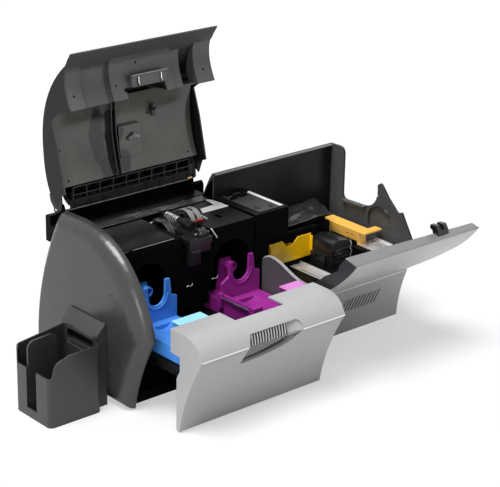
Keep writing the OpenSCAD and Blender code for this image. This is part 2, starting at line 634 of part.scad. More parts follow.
// Ribbon trays
ribbon_out = 114;
module with_drawer() translate([0, ribbon_out - drawer_open, 0]) children();
tray_y = [-95, 84];
tray_floor = 130;
cradle_y = [36, 41];
bearing_y = [78, 83];
hub_pin = 4;
module cradle_shape(x) difference() {
    polygon([[x - tray_half, tray_floor - 4], [x + tray_half, tray_floor - 4], [x + tray_half, spool_z - 9],
        [x + tray_half - 12, spool_z - 5], [x + tray_half - 14, spool_z + 16],
            [x + tray_half - 16, spool_z + 26],
        [x + cradle_r + 1, spool_z + 26], [x + cradle_r, spool_z], [x - cradle_r, spool_z],
        [x - cradle_r - 1, spool_z + 20], [x - cradle_r - 8, spool_z + 20], [x - cradle_r - 9, spool_z - 5],
        [x - tray_half, spool_z - 16]]);
    translate([x, spool_z]) circle(cradle_r);
}
// The floor of a tray dips in a shallow round trough under the ribbon
trough_y = [-40, 20];
trough_r = 30;
trough_up = 22;
trough_w = sqrt(trough_r * trough_r - trough_up * trough_up);
module tray(x, grip) {
    difference() {
        block([x - tray_half, x + tray_half], tray_y, [frame_z[1], tray_floor]);
        block([x - tray_half + 2.5, x + tray_half - 2.5], [tray_y[0] + 2.5, tray_y[1] - 2.5],
            [frame_z[1] - 1, tray_floor - 2.5]);
        rod_y(x, trough_y, tray_floor + trough_up, trough_r);
    }
    difference() {
        block([x - trough_w - 2, x + trough_w + 2], [trough_y[0] - 2, trough_y[1] + 2],
            [tray_floor + trough_up - trough_r - 2.5, tray_floor - 1]);
        rod_y(x, trough_y, tray_floor + trough_up, trough_r);
    }
    along_y(cradle_y[0], cradle_y[1] - cradle_y[0]) cradle_shape(x);
    along_y(cradle_y[0] - 1.5, 2) difference() {
        translate([x, spool_z]) circle(cradle_r + 7);
        translate([x, spool_z]) circle(cradle_r + 4);
        translate([x - 60, spool_z]) square([120, 60]);
    }
    difference() {
        along_y(bearing_y[0], bearing_y[1] - bearing_y[0]) polygon([[x - 20, tray_floor - 2],
            [x + 20, tray_floor - 2],
            [x + 12, spool_z + 10], [x - 12, spool_z + 10]]);
        rod_y(x, [bearing_y[0] - 1, bearing_y[1] + 1], spool_z, hub_pin + run_fit);
    }
    difference() {
        block(grip, [-92, -62], [tray_floor - 1, drawer_top - wall - 2]);
        block([grip[0] + 2.5, grip[1] - 2.5], [-89.5, -61], [tray_floor, drawer_top - wall - 4.5]);
    }
}
module blue_tray() color([0.12, 0.42, 0.88]) at_datum() with_drawer() tray(spool_x[0], [30, 88]);
module magenta_tray() color([0.62, 0.1, 0.6]) at_datum() with_drawer() {
    tray(spool_x[1], [266, 306]);
    block([spool_x[1] - tray_half, spool_x[1] - tray_half + 3], [-46, 36],
        [tray_floor - 1, tray_floor + 14]);
    block([spool_x[1] - tray_half - 8, spool_x[1] - tray_half + 12], [-60, -46],
        [tray_floor - 10, tray_floor + 18]);
    block([spool_x[1] - tray_half - 8, spool_x[1] - tray_half + 1], [30, 39],
        [tray_floor - 10, tray_floor + 16]);
}
rod_at = [spool_x[1] - tray_half - 4, tray_floor + 8];
module guide_rod() color([0.8, 0.81, 0.83]) at_datum() with_drawer() rod_y(rod_at[0], [-46, 30],
    rod_at[1], 2);
module hub(x) at_datum() with_drawer() {
    difference() {
        rod_y(x, [58, 77.6], spool_z, 9);
        rod_y(x, [57, 70], spool_z, 6.4);
    }
    rod_y(x, [77, 92], spool_z, hub_pin);
    for (a = [0, 120, 240]) translate([x, 0, spool_z]) rotate([0, a, 0])
        block([8.5, 10.6], [60, 76], [-1.2, 1.2]);
}
module blue_hub() color([0.12, 0.42, 0.88]) hub(spool_x[0]);
module magenta_hub() color([0.62, 0.1, 0.6]) hub(spool_x[1]);

// Top cover, drawn shut and swung open
cover_x = [3.5, print_w - 2.5];
cover_tail = [rear_tail + 229, 276];
cover_line = concat([[9 - nose_out, nose_z + 55], [19 - nose_out, nose_z + 64]],
    [for (q = dome) if (q[1] > 212) q],
    rest(sweep(dome_top, [172, body_h + 2], [203 + rear_tail, 302], [220 + rear_tail, 287], 7)),
        [cover_tail]);
module swung_open() translate([0, cover_hinge_y, cover_hinge_z]) rotate([-cover_open, 0, 0])
    translate([0, -cover_hinge_y, -cover_hinge_z]) children();
module cover_arm(x) along_x(x, ear_t) difference() {
    union() {
        translate([cover_hinge_y, cover_hinge_z]) circle(7);
        polygon([[cover_hinge_y - 50, 296], [cover_hinge_y - 50, 300], [cover_hinge_y - 30, 298],
            [cover_hinge_y, cover_hinge_z + 7], [cover_hinge_y, cover_hinge_z - 7],
                [cover_hinge_y - 20, 284]]);
    }
    translate([cover_hinge_y, cover_hinge_z]) circle(cover_pin_r + run_fit);
}
liner_face = sweep([-23, 218], [-8, 228], [18, 229], [52, 214], 8);
module cover_end(x) along_x(x, wall) polygon(concat(flip(cover_line), liner_face,
    [[58, 250], [72, 274], [120, 263], [hinge_y[0] - 3, 252], [hinge_y[0] + 1, 264]]));
grid_x = [32, print_w - 30];
grid_y = [cover_hinge_y - 38, cover_hinge_y - 9];
grid_step = (grid_x[1] - grid_x[0] - grid_rib) / grid_cells;
module top_cover() color([0.24, 0.25, 0.26]) at_datum() swung_open() {
    difference() {
        along_x(cover_x[0], cover_x[1] - cover_x[0]) polygon(band(cover_line, wall));
        for (x = arm_x) block([x - 1, x + 2 * ear_t + 2], [cover_hinge_y - 21, cover_hinge_y + 1],
            [266, body_h + 4]);
    }
    cover_end(cover_x[0]);
    cover_end(cover_x[1] - wall);
    cover_arm(arm_x[0]);
    cover_arm(arm_x[1] + ear_t);
    intersection() {
        along_x(grid_x[0], grid_x[1] - grid_x[0]) polygon(concat([for (q = cover_line) if (q[0] > 100) q],
            [[cover_hinge_y - 8, 271], [cover_hinge_y - 38, 267], [100, 280]]));
        union() {
            for (i = [0:grid_cells]) block([grid_x[0] + grid_step * i, grid_x[0] + grid_step * i
                + grid_rib],
                grid_y, [262, body_h + 3]);
            for (i = [0:2]) let (y = grid_y[0] + (grid_y[1] - grid_y[0] - grid_rib) * i / 2)
                block(grid_x, [y, y + grid_rib], [262, body_h + 3]);
        }
    }
}

// Lining of the cover's free edge: two pillars, two bays and the latch panel
pillar_x = [[cover_x[0] + wall, 34], [print_w - 38, cover_x[1] - wall]];
centre_x = [99, 224];
bay_x = [[36.4, 96.6], [226.4, 254]];
liner_t = 2.4;
liner_foot = 216;
cut_x = [centre_x[0] + 27, centre_x[1] - 13];
module liner_skin(x) along_x(x[0], x[1] - x[0]) polygon(band(liner_face, -liner_t));
module liner_back(x) block(x, [50, 50 + liner_t], [liner_foot, 272]);
module cover_liner() color([0.3, 0.305, 0.315]) at_datum() swung_open() difference() {
    intersection() {
        along_x(cover_x[0] + wall, cover_x[1] - cover_x[0] - 2 * wall)
            polygon(concat(beside(cover_line, wall), [[cover_tail[0], 200], [-30, 200]]));
        union() {
        for (x = concat(pillar_x, [centre_x])) {
            liner_skin(x);
            liner_back(x);
        }
        for (x = bay_x) {
            along_x(x[0], x[1] - x[0]) polygon(band(shift(liner_face, [2, 9]), -liner_t));
            block(x, [51, 51 + liner_t], [224, 272]);
        }
        block([bay_x[1][1] - 1, pillar_x[1][0]], [51, 51 + liner_t], [224, 272]);
        for (x = [pillar_x[0][1], centre_x[0] - liner_t, centre_x[1], pillar_x[1][0] - liner_t])
            along_x(x, liner_t) polygon(concat(liner_face, [[52, 240], [30, 248], [-2, 238], [-20, 222]]));
        }
    }
    block(cut_x, [34, 60], [200, 280]);
    for (p = [[19, 30], [print_w - 21, 30], [108, 27], [215, 27], [cut_x[0] + 27, -6]])
        rod_z(p[0], p[1], [200, 234], 2.2);
    block([122, 132], [14, 40], [200, 222.4]);
}
module cover_latch_bar() color([0.42, 0.425, 0.44]) at_datum() swung_open() difference() {
    union() {
        block([135, 211], [14, 33], [213, 217]);
        for (x = [[135, 141], [178, 184], [205, 211]]) block(x, [16, 30], [217, 220]);
        block([135, 211], [13, 15], [213, 221]);
    }
    for (x = [146, 196]) block([x, x + 4], [20, 34], [212, 218]);
}
panel_line_in = bend([57, 272], [125, 294], [cover_hinge_y - 40, 270], 8);
module cover_panel() color([0.33, 0.33, 0.33]) at_datum() swung_open() difference() {
    union() {
        along_x(9, print_w - 19) polygon(band(panel_line_in, -2));
        for (x = [126, 135]) along_x(x, 1.6) polygon(concat(shift(panel_line_in, [0, 1]),
            [[cover_hinge_y - 40, 264], [120, 272], [66, 268]]));
        along_x(142, 48) polygon([[112, 274], [112, 283], [168, 281], [168, 273]]);
    }
    for (p = [[20, 133], [28, cover_hinge_y - 49], [print_w - 28, cover_hinge_y - 49]]) rod_z(p[0], p[1],
        [255, 300], 2);
}
module cover_hook() color([0.08, 0.08, 0.08]) at_datum() swung_open() difference() {
    along_x(216, 8) polygon([[84, 281], [84, 268], [90, 268], [96, 272], [106, 272], [106, 276],
        [94, 277], [94, 281]]);
    along_x(215, 10) polygon(band(panel_line_in, -6));
}
module cover_wing() color([0.55, 0.55, 0.57]) at_datum() swung_open() {
    rod_z(172, 132, [268, 273.6], 5);
    for (s = [-1, 1]) translate([172, 132, 268.6]) rotate([0, 0, 20 * s])
        translate([s > 0 ? 0 : -13, -3, 0])
        cube([13, 6, 3.4]);
}

// Front flap of the feeder, drawn shut and let down on its hinge
flap_x = [print_w + 10, full_w - 3.6];
flap_line = sweep([-18.7, 111], [6, 178], [29, 258], [72, body_h - 1], 12);
flap_skin = band(flap_line, wall);
rib_line = [for (i = [0:11]) flap_line[i]];
flange_drop = 62.6;
flange_d = [30, 18];
module let_down() translate([0, flap_axis[0], flap_axis[1]]) rotate([flap_open, 0, 0])
    translate([0, -flap_axis[0], -flap_axis[1]]) children();
module flap_flange() translate([0, 72, body_h - 1]) rotate([-flange_drop, 0, 0]) translate([0, 0, -2.4])
    linear_extrude(2.4) polygon([[flap_x[0], 0.2], [side_x, 0.2], [side_x, flange_d[1]], [flap_x[0],
        flange_d[0]]]);
module feeder_flap() color([0.62, 0.63, 0.645]) at_datum() let_down() difference() {
    union() {
        intersection() {
            along_x(flap_x[0], side_x - flap_x[0]) polygon(flap_skin);
            along_y(-40, 160) polygon([[flap_x[0], 90], [flap_x[1], 90], [flap_x[1], body_h - 80],
                [side_x, body_h - 56], [side_x, body_h + 1], [flap_x[0], body_h + 1]]);
        }
        flap_flange();
        rod_x(flap_x, flap_axis[0], flap_axis[1], 6.5);
        for (x = [flap_x[0] + 0.1, 0.5 * (flap_x[0] + flap_x[1]), flap_x[1] - wall - 0.1]) along_x(x, wall)
            polygon(concat(beside(rib_line, 1), flip(beside(rib_line, flap_t))));
        along_x(flap_x[0] + 1, flap_x[1] - flap_x[0] - 2)
            polygon(band(beside([for (i = [1:5]) flap_line[i]], flap_t - 3), 2));
    }
    rod_x([flap_x[0] - 1, flap_x[1] + 1], flap_axis[0], flap_axis[1], flap_pin_r + run_fit);
}
module flap_hinge_pins() color([0.7, 0.7, 0.72]) at_datum() {
    rod_x([ear_left, flap_x[0] + 14], flap_axis[0], flap_axis[1], flap_pin_r);
    rod_x([flap_x[1] - 14, full_w + 2.5], flap_axis[0], flap_axis[1], flap_pin_r);
}
module flap_cheek() color([0.27, 0.275, 0.29]) at_datum() let_down() along_x(flap_x[0] - 3, 3)
    polygon(concat([for (i = [4:12]) flap_line[i]], [[84, body_h - 25], [74, body_h - 42],
        [62, body_h - 48],
        [50, 222], [24, 170], [8, 148]]));
module flap_hook() color([0.12, 0.12, 0.12]) at_datum() let_down() difference() {
    along_x(print_w + 218, 26) polygon([[70, body_h - 22], [88, body_h - 24], [91, body_h - 29],
        [98, body_h - 27],
        [96, body_h - 14], [84, body_h - 9], [77, body_h - 10]]);
    block([print_w + 227, print_w + 235], [86, 110], [body_h - 40, body_h]);
    flap_flange();
    along_x(print_w + 217, 28) polygon(flap_skin);
}

// The print head's arm pivots in the middle of the housing
arm_rod = [192, 262];
head_x = [156, 180];
module head_arm() color([0.1, 0.1, 0.1]) at_datum() difference() {
    union() {
        block([172, 206], [84, arm_axis[0] + 6], [242, 254]);
        block([186, 200], [arm_axis[0] - 4, arm_axis[0] + 2], [254, 268]);
        block([186, 200], [88, 96], [254, 258]);
        rod_y(arm_rod[0], [84, 96], arm_rod[1], 9);
        rod_y(arm_rod[0], [96, 121], arm_rod[1], 6.4);
        rod_y(arm_rod[0], [121, arm_axis[0] - 2], arm_rod[1], 3);
        block([head_x[0], 206], [48, 84], [242, 252]);
    }
    rod_x([170, 208], arm_axis[0], arm_axis[1], 3 + run_fit);
    rod_y(arm_rod[0], [83, 90], arm_rod[1], 5.5);
}
module head_rod() color([0.72, 0.72, 0.74]) at_datum() {
    rod_x([arm_bay[0] - wall, arm_bay[1] + wall], arm_axis[0], arm_axis[1], 3);
}
module head_block() color([0.13, 0.13, 0.13]) at_datum() {
    block(head_x, [48, 58], [206, 242]);
    block([head_x[0] + 4, head_x[1] - 2], [45, 48], [210, 232]);
    block([head_x[1], 204], [50, 58], [226, 242]);
}
// Spring wound round the arm's rod as one tube, its ends straight
spring_y = [124, 160];
spring_lead = spring_wire;
curl_rings = 8;
function spring_point(i) = let (n = spring_curls * curl_rings, t = i / n, a = 360 * i / curl_rings)
    [arm_rod[0] + spring_r * cos(a), spring_y[0] + (spring_y[1] - spring_y[0]) * t, arm_rod[1]
        + spring_r * sin(a)];
spring_path = concat(
    [spring_point(0) - [0, 0, spring_lead]],
    [for (i = [0:spring_curls * curl_rings]) spring_point(i)],
    [spring_point(spring_curls * curl_rings) + [0, 0, spring_lead]]);
spring_least = min([for (i = [0:len(spring_path) - 1 - curl_rings], j = [-1:1])
    let (k = min(i + curl_rings + j, len(spring_path) - 1)) norm(spring_path[i] - spring_path[k])
        - spring_wire]);
echo(spring_gap = spring_least);
module tube(path, r, sides) {
    n = len(path);
    ways = [for (i = [0:n - 1]) let (d = path[min(i + 1, n - 1)] - path[max(i - 1, 0)]) d / norm(d)];
    rings = [for (i = [0:n - 1]) let (
        out = path[i] - [arm_rod[0], path[i][1], arm_rod[1]],
        u = (out - (out * ways[i]) * ways[i]) / norm(out - (out * ways[i]) * ways[i]),
        v = cross(ways[i], u))
        [for (k = [0:sides - 1]) path[i] + r * (cos(360 * k / sides) * u + sin(360 * k / sides) * v)]];
    polyhedron(
        points = [for (ring = rings) each ring],
        faces = concat([[for (k = [0:sides - 1]) k]],
            [for (i = [0:n - 2], k = [0:sides - 1]) let (m = (k + 1) % sides)
                each [[i * sides + k, (i + 1) * sides + k, (i + 1) * sides + m],
                    [i * sides + k, (i + 1) * sides + m, i * sides + m]]],
            [[for (k = [sides - 1:-1:0]) (n - 1) * sides + k]]));
}
module head_spring() color([0.75, 0.75, 0.77]) at_datum() tube(spring_path, spring_wire / 2, 6);

// Ribbon cables arch from the rear of the housing to the head
module flex_cables() color([0.55, 0.54, 0.53]) at_datum() for (x = [156, 163.5])
    along_x(x, 6) polygon(band(sweep([104, bay_top - 14], [110, bay_top + 12], [150, bay_top + 16],
        [166, bay_top - 16], 9), 0.8));

// Amber card weight, lifted to load cards
module card_lever() color([0.95, 0.66, 0.12]) at_datum() difference() {
    union() {
        block(lever_x, [44, lever_axis[0] + 6], [166, 169]);
        block([lever_x[0], lever_x[0] + 3], [62, lever_axis[0] + 6], [150, 166]);
        block([lever_x[1] - 3, lever_x[1]], [96, lever_axis[0] + 6], [156, 166]);
        block([lever_x[1], lever_x[1] + 20], [44, 62], [166, 169]);
        block([lever_x[0], lever_x[0] + 20], [58, 62], [deck_z + 21, 166]);
    }
    rod_x([lever_x[0] - 1, lever_x[1] + 1], lever_axis[0], lever_axis[1], 3 + run_fit);
    for (y = [76, 88]) rod_x([lever_x[0] - 1, lever_x[0] + 4], y, 158, 2.4);
}
module lever_pin() color([0.7, 0.7, 0.72]) at_datum()
    rod_x([lever_x[0] - gap - lever_post, lever_x[1] + gap + lever_post], lever_axis[0], lever_axis[1], 3);

// Output hopper, lifted off the cap to empty it
hop_right = -cap_t - 0.3;
hop_left = hop_right - hopper_l;
bin_right = hop_right - 23;
hop_wall = 2.6;
hop_front = 30;
bezel_y = [46, 146];
hop_left_h = 89;
module output_hopper() color([0.22, 0.225, 0.235]) at_datum() {
    back = hop_front + hopper_d;
    difference() {
        translate([hop_left, hop_front, 0]) linear_extrude(hopper_h + 12)
            rounded(bin_right - hop_left, hopper_d, 9);
        translate([hop_left + hop_wall, hop_front + hop_wall, hop_wall]) linear_extrude(hopper_h + 12)
            rounded(bin_right - hop_left - 2 * hop_wall, hopper_d - 2 * hop_wall, 7);
        along_y(hop_front - 1, hop_wall + 10) polygon(concat([[hop_left - 1, hop_left_h],
            [hop_left + 6, hop_left_h]],
            bend([hop_left + 9, hop_left_h + 8], [hop_left + 10, hopper_h - 3],
                [hop_left + 32, hopper_h - 2], 5),
            [[hop_left + 42, hopper_h + 2], [bin_right + 1, hopper_h + 2], [bin_right + 1, hopper_h + 20],
            [hop_left - 1, hopper_h + 20]]));
        block([hop_left - 1, hop_left + 10], [hop_front + 8, back - 8], [hop_left_h, hopper_h + 20]);
        along_y(back - 12, 14) polygon(concat([[hop_left - 1, hopper_h - 14]],
            bend([hop_left - 1, hopper_h - 14], [hop_left, hopper_h], [hop_left + 14, hopper_h], 4),
            [[hop_left + 60, hopper_h + 6], [bin_right + 1, hopper_h + 12], [bin_right + 1, hopper_h + 20],
            [hop_left - 1, hopper_h + 20]]));
        block([hop_left - 1, hop_left + hop_wall + 1], [hop_front + 38, hop_front + 66], [16, hopper_h]);
        block([bin_right - hop_wall - 0.2, bin_right + 1], [slot_y[0] - 2, slot_y[1] - 8],
            [slot_z[0] - 8, hopper_h + 20]);
    }
    difference() {
        along_y(bezel_y[0], bezel_y[1] - bezel_y[0]) polygon([[bin_right, 0], [hop_right, 0],
            [hop_right, 150],
            [hop_right - 3, 150], [bin_right + 2, slot_z[1] + 8], [bin_right, slot_z[1] + 2]]);
        block([bin_right - 1, hop_right + 1], slot_y, slot_z);
        block([bin_right + hop_wall, hop_right + 1], [bezel_y[0] + 3, bezel_y[1] - 3], [3, slot_z[0] - 4]);
    }
    along_y(hop_front + 67, 4) polygon(concat([[hop_left + 5, hop_wall], [hop_left + 5, hopper_h - 2]],
        bend([hop_left + 5, hopper_h - 2], [hop_left + 6, hopper_h + 10], [hop_left + 18, hopper_h + 12],
            4),
        [[hop_left + 52, hopper_h + 14], [hop_left + 64, hopper_h + 8], [hop_left + 66, hop_wall]]));
}

base_pan();
rubber_feet();
left_end_cap();
cap_disc();
left_inner_plate();
rear_shell();
hinge_block();
cover_hinge_pins();
partition();
ribbon_housing();
shelf_plate();
slide_channels();
front_panel();
body_shell();
feeder_deck();
rail_plate_left();
rail_plate_right();
card_wall();
card_guide();
feed_block();
transfer_box();
bracket_plate();
flat_cable();
flex_cables();
encoder_block();
power_inlet();
data_ports();
main_board();
power_supply();
drive_motor();
flap_hinge_pins();
power_rocker();
drawer_front();
drawer_frame();
drawer_rails();
handle_grille();
drawer_cheek();
blue_tray();
magenta_tray();
guide_rod();
blue_hub();
magenta_hub();
top_cover();
cover_liner();
cover_latch_bar();
cover_panel();
cover_hook();
cover_wing();
feeder_flap();
flap_cheek();
flap_hook();
head_arm();
head_rod();
head_spring();
head_block();
card_lever();
lever_pin();
feed_roller_left();
feed_roller_right();
output_hopper();
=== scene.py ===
import math
import random

import bmesh
import bpy
from mathutils import Matrix, Vector


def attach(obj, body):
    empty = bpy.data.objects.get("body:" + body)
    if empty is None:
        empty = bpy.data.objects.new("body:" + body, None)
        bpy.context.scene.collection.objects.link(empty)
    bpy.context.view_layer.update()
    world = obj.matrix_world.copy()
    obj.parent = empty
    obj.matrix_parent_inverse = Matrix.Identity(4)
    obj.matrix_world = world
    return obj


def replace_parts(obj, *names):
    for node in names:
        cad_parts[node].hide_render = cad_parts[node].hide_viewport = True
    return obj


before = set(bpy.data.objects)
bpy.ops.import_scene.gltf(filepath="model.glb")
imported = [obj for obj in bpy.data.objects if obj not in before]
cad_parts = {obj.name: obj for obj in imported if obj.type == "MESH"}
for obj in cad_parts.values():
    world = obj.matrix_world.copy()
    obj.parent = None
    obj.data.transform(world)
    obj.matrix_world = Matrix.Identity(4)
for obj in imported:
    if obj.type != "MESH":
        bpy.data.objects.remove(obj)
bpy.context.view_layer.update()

# ----------
# Studio: a white sweep, one wide softbox high on the left and a pale sky, and
# the camera that looks at the printer from its outlet end, above the drawer.
PHOTO_WIDTH = 500
FOCAL_PIXELS = 1780.0
SENSOR = 36.0
CAMERA_AT = Vector((-1.9470, -2.2855, 1.357))
CAMERA_AZIMUTH = math.radians(41.3)
CAMERA_DROP = math.radians(21.25)
CAMERA_ROLL = math.radians(1.1)
FARTHEST_SEEN = 60.0

view_in = Vector((math.sin(CAMERA_AZIMUTH) * math.cos(CAMERA_DROP),
                  math.cos(CAMERA_AZIMUTH) * math.cos(CAMERA_DROP),
                  -math.sin(CAMERA_DROP)))
view_right = Vector((math.cos(CAMERA_AZIMUTH), -math.sin(CAMERA_AZIMUTH), 0.0))
view_up = view_right.cross(view_in)
rolled_right = view_right * math.cos(CAMERA_ROLL) + view_up * math.sin(CAMERA_ROLL)
rolled_up = view_up * math.cos(CAMERA_ROLL) - view_right * math.sin(CAMERA_ROLL)
camera = bpy.data.objects.new("studio_camera", bpy.data.cameras.new("studio_camera"))
bpy.context.scene.collection.objects.link(camera)
camera.data.sensor_width = SENSOR
camera.data.sensor_fit = "HORIZONTAL"
camera.data.lens = FOCAL_PIXELS / PHOTO_WIDTH * SENSOR
camera.data.clip_end = FARTHEST_SEEN
camera.matrix_world = Matrix((
    (rolled_right.x, rolled_up.x, -view_in.x, CAMERA_AT.x),
    (rolled_right.y, rolled_up.y, -view_in.y, CAMERA_AT.y),
    (rolled_right.z, rolled_up.z, -view_in.z, CAMERA_AT.z),
    (0.0, 0.0, 0.0, 1.0)))
bpy.context.scene.camera = camera
bpy.context.scene.view_settings.view_transform = "Standard"


def hang_lamp(name, towards, strength, spread):
    lamp = bpy.data.objects.new(name, bpy.data.lights.new(name, "SUN"))
    lamp.data.energy = strength
    lamp.data.angle = math.radians(spread)
    lamp.rotation_euler = Vector(towards).to_track_quat("-Z", "Y").to_euler()
    bpy.context.scene.collection.objects.link(lamp)


hang_lamp("overhead_softbox", (0.36, 0.06, -0.93), 4.0, 32)
hang_lamp("left_strip_box", (0.80, 0.53, -0.27), 0.46, 10)


def lay(tree, kind, plugs=None, **settings):
    """One shader node, its settings and what is plugged into it or dialled on it."""
    node = tree.nodes.new(kind)
    for name, value in settings.items():
        setattr(node, name, value)
    for name, value in (plugs or {}).items():
        if isinstance(value, bpy.types.NodeSocket):
            tree.links.new(value, node.inputs[name])
        else:
            node.inputs[name].default_value = value
    return node


def reckon(tree, operation, *values, clamp=False):
    """One sum on two or three values."""
    plugs = dict(enumerate(values))
    return lay(tree, "ShaderNodeMath", plugs, operation=operation, use_clamp=clamp).outputs[0]


def start_material(name):
    """A new material, its nodes and its surface node."""
    material = bpy.data.materials.new(name)
    material.use_nodes = True
    return material, material.node_tree, material.node_tree.nodes["Principled BSDF"]


# The sky is white to the camera and in reflections, and fills shadows more weakly
SKY_LEVEL = 0.34
sky = bpy.data.worlds.new("studio_sky")
bpy.context.scene.world = sky
sky.use_nodes = True
sky_tree = sky.node_tree
sky_tree.nodes.clear()
rays = lay(sky_tree, "ShaderNodeLightPath").outputs
seen_sky = reckon(sky_tree, "MAXIMUM", rays["Is Camera Ray"], rays["Is Transmission Ray"])
white_share = reckon(sky_tree, "MAXIMUM", seen_sky, rays["Is Glossy Ray"])
lit_sky = lay(sky_tree, "ShaderNodeBackground",
              {"Color": (0.97, 0.985, 1.0, 1.0), "Strength": SKY_LEVEL})
white_sky = lay(sky_tree, "ShaderNodeBackground", {"Color": (1.0, 1.0, 1.0, 1.0), "Strength": 1.0})
sky_mix = lay(sky_tree, "ShaderNodeMixShader",
              {0: white_share, 1: lit_sky.outputs[0], 2: white_sky.outputs[0]})
lay(sky_tree, "ShaderNodeOutputWorld", {0: sky_mix.outputs[0]})

# The camera sees the floor half lifted to white, and the printer sees its paint
FLOOR_REACH = 9.0
FLOOR_SHADE = 0.70
FLOOR_LIFT = 0.50
floor_mesh = bpy.data.meshes.new("studio_floor")
floor_mesh.from_pydata([(x * FLOOR_REACH, y * FLOOR_REACH, 0)
                        for x, y in ((-1, -1), (1, -1), (1, 1), (-1, 1))], [], [(0, 1, 2, 3)])
floor = bpy.data.objects.new("studio_floor", floor_mesh)
bpy.context.scene.collection.objects.link(floor)
floor_paint, floor_tree, floor_surface = start_material("studio_floor_paint")
floor_surface.inputs["Base Color"].default_value = (FLOOR_SHADE, FLOOR_SHADE, FLOOR_SHADE, 1.0)
floor_surface.inputs["Roughness"].default_value = 0.6
floor_surface.inputs["Specular IOR Level"].default_value = 0.2
floor_rays = lay(floor_tree, "ShaderNodeLightPath").outputs
floor_share = reckon(floor_tree, "MULTIPLY", floor_rays["Is Camera Ray"], FLOOR_LIFT)
floor_white = lay(floor_tree, "ShaderNodeEmission")
floor_mix = lay(floor_tree, "ShaderNodeMixShader",
                {0: floor_share, 1: floor_surface.outputs[0], 2: floor_white.outputs[0]})
floor_tree.links.new(floor_mix.outputs[0], floor_tree.nodes["Material Output"].inputs["Surface"])
floor_mesh.materials.append(floor_paint)


# ----------
# Base pan: a black injection moulded tray that carries every other piece. The
# housings screw down into it, and its edges have the tool's small radius.
def ranged(tree, value, low, high):
    """Where a value stands between two others, from 0 to 1."""
    plugs = {"Value": value, "From Min": low, "From Max": high}
    return lay(tree, "ShaderNodeMapRange", plugs).outputs["Result"]


def blend(tree, share, low, high):
    """A colour between two others."""
    plugs = {"Factor": share, 6: low, 7: high}
    return lay(tree, "ShaderNodeMix", plugs, data_type="RGBA").outputs[2]


def start_group(name, dials, results):
    tree = bpy.data.node_groups.new(name, "ShaderNodeTree")
    for dial, value in dials.items():
        socket = tree.interface.new_socket(dial, in_out="INPUT", socket_type="NodeSocketFloat")
        socket.default_value = value
    for result, kind in results.items():
        tree.interface.new_socket(result, in_out="OUTPUT", socket_type="NodeSocket" + kind)
    return (tree, tree.nodes.new("NodeGroupInput").outputs,
            tree.nodes.new("NodeGroupOutput").inputs)


def place_group(tree, group, **dials):
    node = tree.nodes.new("ShaderNodeGroup")
    node.node_tree = group
    for name, value in dials.items():
        node.inputs[name.replace("_", " ")].default_value = value
    return node


# Spark eroded tool texture: a fine pebble, with a slow drift in shade and gloss
mould_texture, dial, result = start_group(
    "mould texture", {"Pebble scale": 900.0, "Drift scale": 14.0},
    {"Height": "Float", "Drift": "Float"})
spot = lay(mould_texture, "ShaderNodeTexCoord").outputs["Object"]
pebbles = lay(mould_texture, "ShaderNodeTexNoise",
              {"Vector": spot, "Scale": dial["Pebble scale"], "Detail": 3.0, "Roughness": 0.6})
drifts = lay(mould_texture, "ShaderNodeTexNoise",
             {"Vector": spot, "Scale": dial["Drift scale"], "Detail": 4.0})
mould_texture.links.new(pebbles.outputs["Fac"], result["Height"])
mould_texture.links.new(ranged(mould_texture, drifts.outputs["Fac"], 0.3, 0.7), result["Drift"])

# Edges that hands and tools have polished, in patches and painted lighter there as a highlight, and every
# edge's small radius
edge_rub, dial, result = start_group(
    "edge rub", {"Edge radius": 0.0008, "Roll radius": 0.0008, "Patch scale": 55.0},
    {"Rubbed and highlit": "Float", "Rounded": "Vector"})
radius = lay(edge_rub, "ShaderNodeBevel", {"Radius": dial["Edge radius"]}, samples=4)
roll = lay(edge_rub, "ShaderNodeBevel", {"Radius": dial["Roll radius"]}, samples=8)
face = lay(edge_rub, "ShaderNodeNewGeometry").outputs["Normal"]
turn = lay(edge_rub, "ShaderNodeVectorMath", {0: radius.outputs["Normal"], 1: face},
           operation="DOT_PRODUCT")
corner = ranged(edge_rub, turn.outputs["Value"], 0.995, 0.8)
spot = lay(edge_rub, "ShaderNodeTexCoord").outputs["Object"]
patches = lay(edge_rub, "ShaderNodeTexNoise",
              {"Vector": spot, "Scale": dial["Patch scale"], "Detail": 5.0})
worn_and_highlit = ranged(edge_rub, patches.outputs["Fac"], 0.35, 0.62)
edge_rub.links.new(reckon(edge_rub, "MULTIPLY", corner, worn_and_highlit), result["Rubbed and highlit"])
edge_rub.links.new(roll.outputs["Normal"], result["Rounded"])

# Dust that settles on faces that look up at rest
settled_dust, dial, result = start_group(
    "settled dust", {"Speck scale": 260.0}, {"Dust": "Float"})
spot = lay(settled_dust, "ShaderNodeTexCoord").outputs
upward = lay(settled_dust, "ShaderNodeSeparateXYZ", {"Vector": spot["Normal"]})
flat_top = ranged(settled_dust, upward.outputs["Z"], 0.45, 1.0)
specks = lay(settled_dust, "ShaderNodeTexNoise",
             {"Vector": spot["Object"], "Scale": dial["Speck scale"], "Detail": 6.0,
              "Roughness": 0.75})
dusty = reckon(settled_dust, "MULTIPLY", flat_top,
               ranged(settled_dust, specks.outputs["Fac"], 0.5, 0.85))
settled_dust.links.new(dusty, result["Dust"])

DUST = (0.42, 0.41, 0.39, 1.0)
DUST_DULLS = 0.6
RUBBING_DULLS = -0.2
MICRON = 0.000001


def grey(value, tint=0.0):
    return (value * (1 - tint), value, value * (1 + tint), 1.0)


def shaded(colour, share, lift=0.0):
    return tuple(min(1.0, c * share + lift) for c in colour[:3]) + (1.0,)


def emboss(tree, surface, depth, height, rounded):
    """Sets a surface's fine relief, over edges that are already rounded."""
    bump = lay(tree, "ShaderNodeBump",
               {"Strength": 1.0, "Distance": depth, "Height": height, "Normal": rounded})
    tree.links.new(bump.outputs[0], surface.inputs["Normal"])


